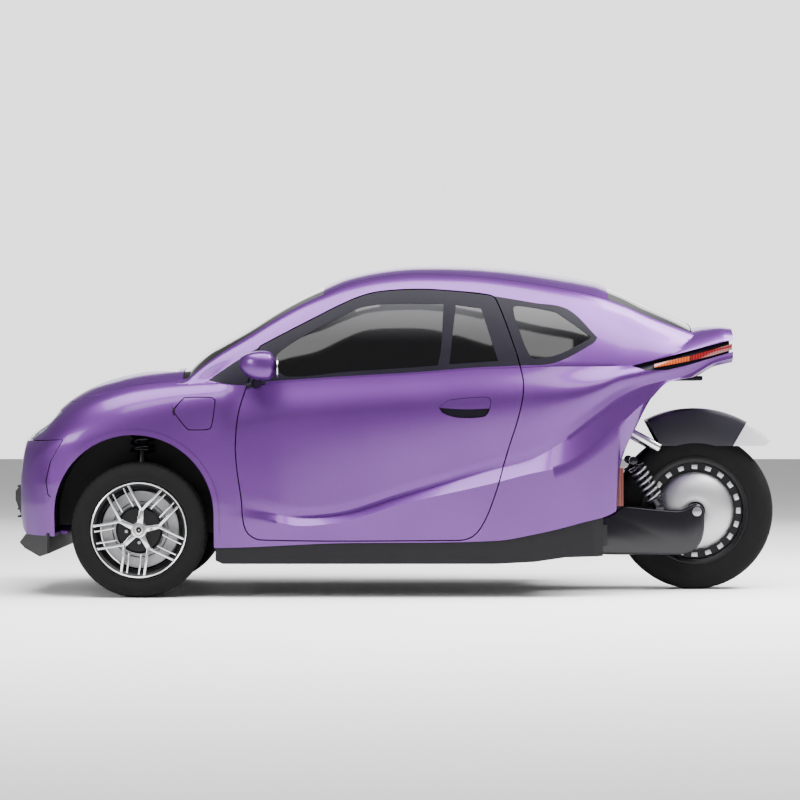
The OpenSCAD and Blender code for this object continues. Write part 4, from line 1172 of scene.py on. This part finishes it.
# %% Brake discs
disc_left = smooth(turned("friction_disc_left", [
    (18, 50), (18, 96), (21, 100), (26, 100), (26, 112), (18, 116), (18, 158), (20, 160), (28, 160),
    (30, 158), (30, 50),
]), FINE_DEG)
moved(disc_left, FRONT_AT)
hand_over_pair(
    disc_left, FINE_DEG, ground_steel, "wheel_left", ["brake_disc_left"]
)
print("disc", len(disc_left.data.polygons), "faces")

# %% [markdown]
# ## Front struts
#
# The coil springs stand on the struts inside the wheel wells. They are wire wound on a helix.

# %% Front springs
STRUT_FOOT, STRUT_TOP = np.array((-1058, -570, 165.0)), np.array((-1058, -470, 790.0))
SPRING_R, WIRE_R, TURNS = 46, 6, 5
SEAT_R, SEAT_MM = 54, 6
strut = STRUT_TOP - STRUT_FOOT
strut_mm = np.linalg.norm(strut)
seat_low = STRUT_FOOT + strut * (strut_mm - 190) / strut_mm
seat_high = STRUT_FOOT + strut * (strut_mm - 34) / strut_mm
spring = joined("coil_spring_left", [
    coil("coil_spring_left", seat_low, seat_high, SPRING_R, WIRE_R, TURNS),
    rod("spring_seat", seat_low - strut / strut_mm * SEAT_MM, seat_low, SEAT_R),
    rod("spring_seat", seat_high, seat_high + strut / strut_mm * SEAT_MM, SEAT_R),
])
hand_over_pair(
    spring, ROUND_DEG, powder_black, "upright_left", ["spring_left"]
)
print("spring", len(spring.data.polygons), "faces")

# %% [markdown]
# ## Rear wheel
#
# The single rear wheel carries its motor inside the hub. A black ring of bright lugs surrounds a domed
# aluminium cover with a satin face, which shades from light to dark like a bowl.

# %% Rear rim and hub cover
LUGS, LUG_IN_R, LUG_OUT_R = 20, 178, 198
rim_rear = turned("rear_rim_ring", [
    (-92, 222), (-87, 222), (-80, 208), (-60, 204), (-60, 162), (60, 162), (60, 204), (80, 208),
    (87, 222), (92, 222), (92, 228), (80, 212), (58, 210), (-58, 210), (-80, 212), (-92, 228),
], 128)
lugs = []
for i in range(LUGS):
    at = 360 * i / LUGS
    for low, high in ((-64, -58), (58, 64)):
        lugs.append(flat_bar(on_wheel(LUG_IN_R, at), on_wheel(LUG_OUT_R, at), 24, 27, low, high))
lug_ring = joined("rear_lugs", lugs)
cover = turned("motor_cover", [
    (-62, 40), (-118, 40), (-122, 52), (-121, 72), (-118, 92), (-113, 112), (-105, 132), (-96, 148),
    (-88, 158), (-80, 164), (-72, 166), (-66, 166), (-62, 160),
], 128)
boss = turned("axle_boss", [(-136, 10), (-136, 26), (-132, 30), (-118, 32), (-118, 10)], 48)
bowl = joined("motor_cover_near", [cover, boss])
far_bowl = mirrored(bowl, "motor_cover_far")
motor_case = turned(
    "motor_case", [(-64, 30), (-64, 150), (-60, 156), (60, 156), (64, 150), (64, 30)]
)
for piece, finish, slot, node in (
    (rim_rear, pocket_black, "black_alloy", "rim_rear"),
    (lug_ring, satin_alloy, "silver_alloy", "rim_rear"),
    (bowl, satin_alloy, "silver_alloy", "hub_motor"),
    (far_bowl, satin_alloy, "silver_alloy", "hub_motor"),
    (motor_case, pocket_black, "black_alloy", "hub_motor"),
):
    moved(smooth(piece, TURNED_DEG), REAR_AT)
    hand_over(piece, finish, "wheel_rear", [node])
print("rear lugs", len(lugs))

# %% [markdown]
# ## Swing arm
#
# Two cast arms hold the axle ends. Each is an outline with a thick rounded edge, so a line of light runs
# along its top. A cross tube joins them at the pivot.

# %% Swing arm
ARM_EDGE = flowing([
    (772, 190), (800, 166), (864, 153), (1040, 151), (1195, 151), (1245, 162), (1282, 192), (1302, 240),
    (1306, 305), (1300, 348), (1275, 368), (1245, 360), (1205, 343), (1090, 350), (975, 360), (935, 350),
    (905, 322), (830, 306), (782, 286), (768, 250),
])
ARM_IN, ARM_OUT, ARM_ROUNDING = 136.0, 176.0, 13.0
arm = prism(ARM_EDGE, -ARM_OUT, -ARM_IN)
modify(
    arm, "BEVEL", width=ARM_ROUNDING * MM, segments=4, limit_method="ANGLE",
    angle_limit=math.radians(60),
)
far_arm = mirrored(arm, "swing_arm_far")
cross = rod("arm_cross_tube", (830, -140, 236), (830, 140, 236), 36, segments=48)
axle = rod("rear_axle", (1273, -182, 336), (1273, 182, 336), 20, segments=32)
nut = rod("axle_nut", (1273, -186, 336), (1273, 186, 336), 15, segments=6)
swing = smooth(joined("cast_swing_arm", [arm, far_arm, cross]), ROUND_DEG)
axle = smooth(joined("rear_axle", [axle, nut]), ROUND_DEG)
hand_over(swing, powder_black, "car", ["swing_arm"])
hand_over(axle, ground_steel, "car")
print("swing arm", len(swing.data.polygons), "faces")

# %% [markdown]
# ## Mudguard
#
# The guard hugs the tyre: a channel with a bevelled top edge. Its section is drawn at one end and spun
# round the axle, and its skirts are cut straight.

# %% Mudguard and its silver end
GUARD_R, GUARD_HALF, GUARD_DEEP, GUARD_BEVEL, GUARD_WALL = 440.0, 116.0, 150.0, 22.0, 6.0
GUARD_FOOT = 614.0
BAND_PROUD = 1.5
TUBE_R, TUBE_Y = 20, 142


def guard(name, first, last, steps, grow=0.0):
    half = [
        (GUARD_HALF + grow, GUARD_R - GUARD_DEEP), (GUARD_HALF + grow, GUARD_R - GUARD_BEVEL + grow),
        (GUARD_HALF - 6 + grow, GUARD_R - 8 + grow), (GUARD_HALF - 20, GUARD_R - 1 + grow),
        (60, GUARD_R + grow),
    ]
    section = half + [(-y, r) for y, r in reversed(half)]
    clear_selection()
    bpy.ops.mesh.primitive_circle_add(vertices=len(section), radius=1.0)
    piece = bpy.context.object
    piece.name = piece.data.name = name
    start = math.radians(first)
    for vertex, (y, r) in zip(piece.data.vertices, section):
        vertex.co = (r * math.cos(start) * MM, y * MM, r * math.sin(start) * MM)
    # The circle's closing edge goes, which leaves an open section to spin.
    edit(piece)
    bpy.ops.mesh.select_all(action="DESELECT")
    done_editing()
    for edge in piece.data.edges:
        edge.select = abs(edge.vertices[0] - edge.vertices[1]) != 1
    bpy.ops.object.mode_set(mode="EDIT")
    bpy.ops.mesh.select_mode(type="EDGE")
    bpy.ops.mesh.delete(type="EDGE_FACE")
    bpy.ops.mesh.select_all(action="SELECT")
    bpy.ops.mesh.spin(
        steps=steps, angle=math.radians(last - first), center=(0, 0, 0), axis=(0, 1, 0)
    )
    bpy.ops.mesh.select_all(action="SELECT")
    bpy.ops.mesh.bisect(
        plane_co=(0, 0, (GUARD_FOOT - REAR_AT[2]) * MM), plane_no=(0, 0, 1), clear_inner=True
    )
    done_editing()
    outward(piece)
    modify(piece, "SOLIDIFY", thickness=GUARD_WALL * MM, offset=-1.0)
    return smooth(moved(piece, REAR_AT), TURNED_DEG)


guard_shell = guard("mudguard_shell", 60, 118, 40)
guard_end = guard("mudguard_end_band", 43, 60, 14, BAND_PROUD)
tubes = [
    rod("guard_tube", (936, y, 704), (1116, y, 604), TUBE_R, segments=32) for y in (-TUBE_Y, TUBE_Y)
]
stays = smooth(joined("guard_stays", tubes), ROUND_DEG)
hand_over(guard_shell, guard_grey, "car", ["mudguard"])
hand_over(guard_end, band_silver, "car", ["mudguard_band"])
hand_over(stays, bright_alloy, "car", ["mudguard_tubes"])
print("mudguard", len(guard_shell.data.polygons), "faces")

# %% [markdown]
# ## Coil-over shock absorbers
#
# Each damper has a rod and a dark body, and a bright wound spring between two cups.

# %% Shock absorbers
SHOCK_Y, CUP_R, EYE_R = 156, 39, 18
half_eye = np.array((0, 16, 0))
springs, dampers = [], []
for hand in (-1, 1):
    foot, top = np.array((1116, hand * SHOCK_Y, 355.0)), np.array((1004, hand * SHOCK_Y, 552.0))
    way = (top - foot) / np.linalg.norm(top - foot)
    springs.append(coil("shock_spring", foot + way * 46, top - way * 34, 32, 6.5, 6))
    dampers += [
        rod("damper", foot + way * 8, foot + way * 120, 21),
        rod("damper_rod", foot + way * 110, top - way * 8, 9),
        rod("spring_cup", foot + way * 36, foot + way * 44, CUP_R),
        rod("spring_cup", top - way * 34, top - way * 26, CUP_R),
        rod("shock_eye", foot - half_eye, foot + half_eye, EYE_R),
        rod("shock_eye", top - half_eye, top + half_eye, EYE_R),
    ]
for name, pieces, finish, slot in (
    ("shock_springs", springs, ground_steel, "bare_steel"),
    ("shock_dampers", dampers, powder_black, "black_steel"),
):
    shock = smooth(joined(name, pieces), ROUND_DEG)
    hand_over(shock, finish, "car", ["shock_absorbers"])
    print(name, len(shock.data.polygons), "faces")

# %% [markdown]
# ## Lamps
#
# A headlamp is a clear lens over a dark bowl with two plated eyes. The tail lamp is a black recess
# under the rear lip, with one amber and one red light bar across it. The lens and the recess are cut
# from shells of the body, so that they lie flush with the panels round them.

# %% Shells for the lamps
LENS_MM, RECESS_MM = 5.0, 16.0
thin_core = whole_body("thin_core", LENS_MM, 2, MIDDLE_STEP_MM)
deep_core = whole_body("deep_core", WALL_MM, 1, COARSE_STEP_MM)
recess_top = whole_body("recess_top", RECESS_MM, 2, MIDDLE_STEP_MM)
lens_sheet = combine(copy_of(skin_lower, "lens_sheet"), "DIFFERENCE", thin_core)
recess_sheet = combine(recess_top, "DIFFERENCE", deep_core)
light_sheet = combine(copy_of(thin_core, "light_sheet"), "DIFFERENCE", recess_sheet, deep_core)
print("lens sheet", len(lens_sheet.data.polygons), "faces")

# %% Charge flap
# The flap is a thin lid, so that its edge clears the fender as it swings out.
flap = stamp("charge_flap_skin", lens_sheet, ["flap"], [])
hand_over(flap, paint, "flap", ["charge_flap"])
# The fender is scooped out round the hinge line, where the flap's edge turns inward.
HINGE_XY, SCOOP_R = (-914, -707), 5.4
scoop = rod("hinge_scoop", (*HINGE_XY, 744), (*HINGE_XY, 790), SCOOP_R, segments=32)
combine(fender_left, "DIFFERENCE", scoop)
scrap(scoop)
smooth(fender_left, SHEET_DEG)
print("flap", len(flap.data.polygons), "faces")

# %% Headlamps
lens_left = stamp("headlamp_lens_left", lens_sheet, ["lamp"], ["bumper_shut"])
bowl_left = stamp("headlamp_bowl_left", recess_sheet, ["lamp"], ["bumper_shut"])
eye_tool = joined("lamp_eyes", [
    rod("lamp_eye", (-1700, y, z), (-1250, y, z), radius, segments=48)
    for y, z, radius in ((-395, 694, 24), (-470, 690, 27))
])
eyes_left = combine(copy_of(bowl_left, "headlamp_eyes_left"), "INTERSECT", eye_tool)
smooth(eyes_left, SHEET_DEG)
combine(bowl_left, "DIFFERENCE", eye_tool)
scrap(eye_tool)
for piece, finish, slot in (
    (lens_left, clear_lens, "clear_lens"), (bowl_left, gloss_black, "black_plastic"),
    (eyes_left, reflector, "clear_lens"),
):
    hand_over_pair(piece, SHEET_DEG, finish, "car", ["headlamps"])
print("headlamp", len(lens_left.data.polygons), "faces")

# %% Tail lamps
recess = stamp("tail_recess", recess_sheet, ["tail_lamp"], [])
bars = {
    "amber": [(1062, 944), (1150, 960), (1214, 973), (1214, 993), (1150, 979), (1062, 958)],
    "red": [(1218, 974), (1290, 990), (1500, 1050), (1500, 1076), (1290, 1014), (1218, 994)],
}
hand_over(recess, gloss_black, "car", ["tail_lamps"])
for name, outline in bars.items():
    block = prism(outline, FAR, -FAR)
    light = copy_of(light_sheet, name + "_light_bar")
    smooth(combine(light, "INTERSECT", block, tool["tail_lamp"]), SHEET_DEG)
    scrap(block)
    hand_over(light, lens_finish[name + "_acrylic"], "car", ["tail_lamps"])
    print(name, "bar", len(light.data.polygons), "faces")
scrap(thin_core, deep_core, recess_sheet, lens_sheet, light_sheet)

# %% Plate lamp under the tail
plate_lamp = block_of("plate_lamp", (1170, -150, 893), (1300, 150, 913), 5)
hand_over(plate_lamp, gloss_black, "car")
print("plate lamp", len(plate_lamp.data.polygons), "faces")

# %% [markdown]
# ## Mirrors
#
# A mirror is a rounded pod on a dark foot. The pod starts as a sphere that is stretched to its size and
# flattened behind, where the glass sits.

# %% Mirror pods
POD_AT, POD_HALF = np.array((-548, -806, 950.0)), np.array((96, 74, 60.0))
clear_selection()
bpy.ops.mesh.primitive_uv_sphere_add(segments=64, ring_count=32, radius=1.0)
pod = bpy.context.object
pod.name = pod.data.name = "mirror_pod_left"
for vertex in pod.data.vertices:
    x, y, z = vertex.co
    back = max(x - 0.30, 0.0)
    x = x - back * 0.62
    full = 1.0 + 0.10 * (1 - abs(z)) * max(x, 0)
    droop = -0.16 * x * (1 - z * z)
    square = (abs(y) ** 4 + abs(z) ** 4 + 1e-9) ** 0.25 / (math.hypot(y, z) + 1e-9)
    y, z = y / square ** 0.6, z / square ** 0.6
    vertex.co = tuple(np.array((x * full, y, z + droop)) * POD_HALF * MM)
smooth(pod, POD_DEG)
moved(pod, POD_AT)
clear_selection()
bpy.ops.mesh.primitive_cylinder_add(
    vertices=64, radius=1.0, depth=0.02, rotation=(0, math.pi / 2, 0)
)
bpy.ops.object.transform_apply(rotation=True)
mirror_glass = bpy.context.object
mirror_glass.name = mirror_glass.data.name = "mirror_glass_left"
pick(mirror_glass)
bpy.ops.transform.resize(value=(0.2, POD_HALF[1] * 0.74 * MM, POD_HALF[2] * 0.7 * MM))
bpy.ops.object.transform_apply(scale=True)
moved(mirror_glass, POD_AT + (POD_HALF[0] * 0.65, 0, -8))
foot_arm = rod("mirror_foot", (-582, -664, 872), (-560, -772, 922), 20, 15, 32)
foot_base = rod("mirror_foot", (-620, -666, 862), (-545, -660, 886), 15, segments=32)
foot_left = smooth(joined("mirror_foot_left", [foot_arm, foot_base]), ROUND_DEG)
for piece, finish, slot, stands_for in (
    (pod, paint, "body_paint", ["mirror_left"]), (mirror_glass, reflector, "tinted_glass", []),
    (foot_left, gloss_black, "black_plastic", []),
):
    hand_over_pair(piece, POD_DEG, finish, "door_left_body", stands_for)
print("mirror pod", len(pod.data.polygons), "faces")

# %% [markdown]
# ## Intake
#
# The nose has a wide black intake with straight cross bars that lie in its mouth.

# %% Intake bars
BAR_LEVELS, BAR_HALF_W = (318, 350, 382, 414, 446), 250
mouth_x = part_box("grille")[0][0] / MM
bars_front = joined("intake_bars", [
    box_of((mouth_x + 2, -BAR_HALF_W, level - 4), (mouth_x + 30, BAR_HALF_W, level + 4))
    for level in BAR_LEVELS
])
modify(bars_front, "BEVEL", width=2 * MM, segments=2)
hand_over(smooth(bars_front, ROUND_DEG), gloss_black, "car")
print("intake bars", len(BAR_LEVELS))

# %% [markdown]
# ## Seats
#
# Each front seat is a cushion, a back and a headrest: foam that swells between its seams under woven
# cloth. A block is cut into panels, the panels are blown out, and the edges between them stay pulled in
# like sewn channels. Subdivision rounds the rest.

# %% Helper for a cushion
CHANNEL_MM, CHANNEL_W_MM = 9, 14


def cushion(name, size, channels, swell, rounding):
    clear_selection()
    bpy.ops.mesh.primitive_cube_add(size=1.0)
    piece = bpy.context.object
    piece.name = piece.data.name = name
    bpy.ops.transform.resize(value=tuple(np.array(size) * MM))
    bpy.ops.object.transform_apply(location=True, rotation=True, scale=True)
    modify(piece, "BEVEL", width=rounding * MM, segments=3)
    edit(piece)
    wide = size[1]
    for line in channels:
        bpy.ops.mesh.select_all(action="SELECT")
        bpy.ops.mesh.bisect(plane_co=(0, line * wide * MM, 0), plane_no=(0, 1, 0))
    bpy.ops.mesh.select_all(action="SELECT")
    bpy.ops.mesh.subdivide(number_cuts=1)
    done_editing()
    top = size[2] / 2 * MM
    for vertex in piece.data.vertices:
        x, y, z = vertex.co
        if z > top * 0.6:
            across = 2 * x / (size[0] * MM)
            along = 2 * y / (size[1] * MM)
            near = min([abs(y / MM / wide - line) for line in channels] or [1.0])
            sink = math.exp(-((near * wide / CHANNEL_W_MM) ** 2))
            blown = swell * MM * max(1 - across ** 2, 0) * max(1 - along ** 4, 0)
            vertex.co.z += blown - CHANNEL_MM * MM * sink
    modify(piece, "SUBSURF", levels=2, render_levels=2)
    return smooth(piece, CLOTH_DEG)


def tipped(piece, degrees, place):
    pick(piece)
    piece.rotation_euler.y = math.radians(degrees)
    bpy.ops.object.transform_apply(location=False, rotation=True, scale=False)
    return moved(piece, place)


# %% Front seats and rear bench
SEAT_Y, STALK_Y = 325.0, 60.0
SEAT_LINES, BACK_LINES, BENCH_LINES = (-0.28, 0.28), (-0.27, 0.27), (-0.25, 0.0, 0.25)
base = cushion("seat_base", (470, 425, 130), SEAT_LINES, 16, 34)
back_rest = cushion("seat_back", (500, 420, 105), BACK_LINES, 14, 32)
head = cushion("seat_head", (150, 250, 80), (), 10, 26)
tipped(base, -3, (190, -SEAT_Y, 385))
tipped(back_rest, -76, (462, -SEAT_Y, 630))
tipped(head, -78, (532, -SEAT_Y, 962))
seat_pad = smooth(joined("seat_pad_left", [base, back_rest, head]), CLOTH_DEG)
for pad in hand_over_pair(seat_pad, CLOTH_DEG, cloth, "car", ["seat_left"]):
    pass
floor_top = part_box("seat_left")[0][2] / MM
plinth = block_of("seat_plinth_left", (40, -480, floor_top), (370, -170, 336), 8)
hand_over_pair(plinth, ROUND_DEG, grained_black, "car", ["seat_left"])
stalks = smooth(joined("head_stalks_left", [
    rod("head_stalk", (505, y - SEAT_Y, 870), (530, y - SEAT_Y, 930), 6) for y in (-STALK_Y, STALK_Y)
]), ROUND_DEG)
hand_over_pair(stalks, ROUND_DEG, ground_steel, "car")
low, high = [np.array(corner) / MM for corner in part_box("rear_bench")]
bench_wide = high[1] - low[1] - 10
bench = cushion("bench_base", (262, bench_wide, 110), BENCH_LINES, 12, 30)
bench_back = cushion("bench_back", (330, bench_wide, 70), BENCH_LINES, 12, 24)
tipped(bench, -2, (685, 0, low[2] + 60))
tipped(bench_back, -84, (812, 0, 600))
bench_pad = smooth(joined("bench_pad", [bench, bench_back]), CLOTH_DEG)
hand_over(bench_pad, cloth, "car", ["rear_bench"])
print("seat", len(seat_pad.data.polygons), "faces")

# %% [markdown]
# ## Steering wheel
#
# A padded rim on three spokes round a plain hub pad, with the shaft that runs into the column.

# %% Steering wheel
WHEEL_AT, TILT = (-330, -300, 770), 65.0
GRIP_R, GRIP_THICK = 175, 14
clear_selection()
bpy.ops.mesh.primitive_torus_add(
    major_segments=96, minor_segments=20, major_radius=GRIP_R * MM, minor_radius=GRIP_THICK * MM
)
grip = bpy.context.object
spokes = [grip, rod("wheel_shaft", (0, 0, -102), (0, 0, -18), 15, segments=32)]
for at in (90, 210, 330):
    inner_end, outer_end = on_wheel(40, at), on_wheel(GRIP_R - 3, at)
    spokes.append(rod("wheel_spoke", (*inner_end, -4), (*outer_end, 0), 13, 9, 20))
spokes.append(cushion("hub_pad", (120, 120, 44), (), 5, 18))
hand_wheel = tipped(smooth(joined("hand_wheel_skin", spokes), ROUND_DEG), TILT, WHEEL_AT)
hand_over(hand_wheel, grained_black, "hand_wheel", ["steering_wheel"])
print("hand wheel", len(hand_wheel.data.polygons), "faces")

# %% [markdown]
# ## Solids that show as they are
#
# What is left of the frame is seen from below or through the glass, and keeps its solid with a finish.

# %% Finishes on the remaining solids
carried = {
    "body_paint": paint, "tinted_glass": glass, "black_plastic": grained_black, "clear_lens": clear_lens,
    "red_lens": lens_finish["red_acrylic"], "painted_steel": primed_steel, "black_steel": powder_black,
    "bare_steel": ground_steel, "silver_alloy": bright_alloy, "black_alloy": pocket_black,
    "tyre_rubber": rubber, "seat_cloth": cloth,
}
special = {
    "rear_frame": powder_black, "knuckle_left": powder_black, "knuckle_right": powder_black,
    "marker_strips": lens_finish["marker_red"],
}
for part in frame["record"]["subparts"]:
    solid = nodes[part["node"]]
    solid.data.materials.clear()
    solid.data.materials.append(special.get(part["node"], carried[part["material_slot"]]))
scrap(shell, skin_body, skin_lower, skin_upper, core, glazing, lamp_plan_tool, *tool.values())

# %% [markdown]
# ## Studio
#
# A product shot on white: soft light from above and from the sides, a pale floor, and a long lens a
# little below the windows. The camera stands 13.7 m from the middle of the car.

# %% Floor, light and camera
clear_selection()
bpy.ops.mesh.primitive_plane_add(size=60.0)
floor = bpy.context.object
floor.name = "studio_floor"
# The floor is a roll of matt studio paper with a faint tooth.
paper = mottled("matt_studio_paper", "#f4f4f4", ("#f1f1f1", "#f7f7f7"), 500, 2.0, roughness=0.9)
floor.data.materials.append(paper)

# The backdrop behind the car is lit, and the room behind the camera is dim, so that sides keep
# their colour. The light grows between two values of the direction's part across the car.
DIM_ROOM, LIT_BACKDROP = 0.42, 2.2
EDGE_OF_LIGHT, FULL_LIGHT = 0.90, 0.985
world = bpy.data.worlds.new("studio")
bpy.context.scene.world = world
world.use_nodes = True
sky = world.node_tree.nodes["Background"]
sky.inputs["Color"].default_value = (1.0, 1.0, 1.0, 1.0)
way = add_node(world.node_tree, "TexCoord")
axes = add_node(world.node_tree, "SeparateXYZ", feeds={"Vector": way.outputs["Generated"]})
reach = {
    "From Min": EDGE_OF_LIGHT, "From Max": FULL_LIGHT, "To Min": DIM_ROOM, "To Max": LIT_BACKDROP,
}
fade = add_node(world.node_tree, "MapRange", reach, {"Value": axes.outputs["Y"]})
world.node_tree.links.new(fade.outputs["Result"], sky.inputs["Strength"])


def softbox(name, place, target, size, watts):
    light = bpy.data.lights.new(name, "AREA")
    light.shape = "RECTANGLE"
    light.size, light.size_y = size
    light.energy = watts
    lamp = bpy.data.objects.new(name, light)
    lamp.location = place
    way = np.array(target) - np.array(place)
    flat = math.hypot(way[0], way[1])
    lamp.rotation_euler = (math.atan2(flat, -way[2]), 0, math.atan2(-way[0], way[1]))
    bpy.context.collection.objects.link(lamp)
    return lamp


softbox("overhead", (1.0, -1.6, 5.0), (0.9, -0.4, 0.6), (9.0, 3.0), 1050)
softbox("near_side", (0.3, -5.2, 5.4), (0.0, -0.6, 0.7), (7.0, 1.4), 260)
softbox("rear_overhead", (3.8, 0.4, 4.8), (0.9, -0.6, 0.75), (2.6, 2.6), 520)
softbox("front_corner", (-5.6, -5.2, 2.6), (-1.2, -0.5, 0.6), (2.5, 2.0), 230)
softbox("far_side", (0.5, 6.5, 3.6), (0.0, 0.6, 0.7), (7.0, 2.2), 200)

SENSOR_MM = 36.0
FRAME_PX = 800
FOCAL_PX = 3180
CAMERA_AT = (0.010, -13.7, 0.810)
lens = bpy.data.cameras.new("product_camera")
lens.sensor_width = SENSOR_MM
lens.lens = FOCAL_PX * SENSOR_MM / FRAME_PX
lens.clip_end = 100.0
camera = bpy.data.objects.new("product_camera", lens)
camera.location = CAMERA_AT
camera.rotation_euler = (math.radians(90), 0, 0)
bpy.context.collection.objects.link(camera)
bpy.context.scene.camera = camera
print("camera at", CAMERA_AT)
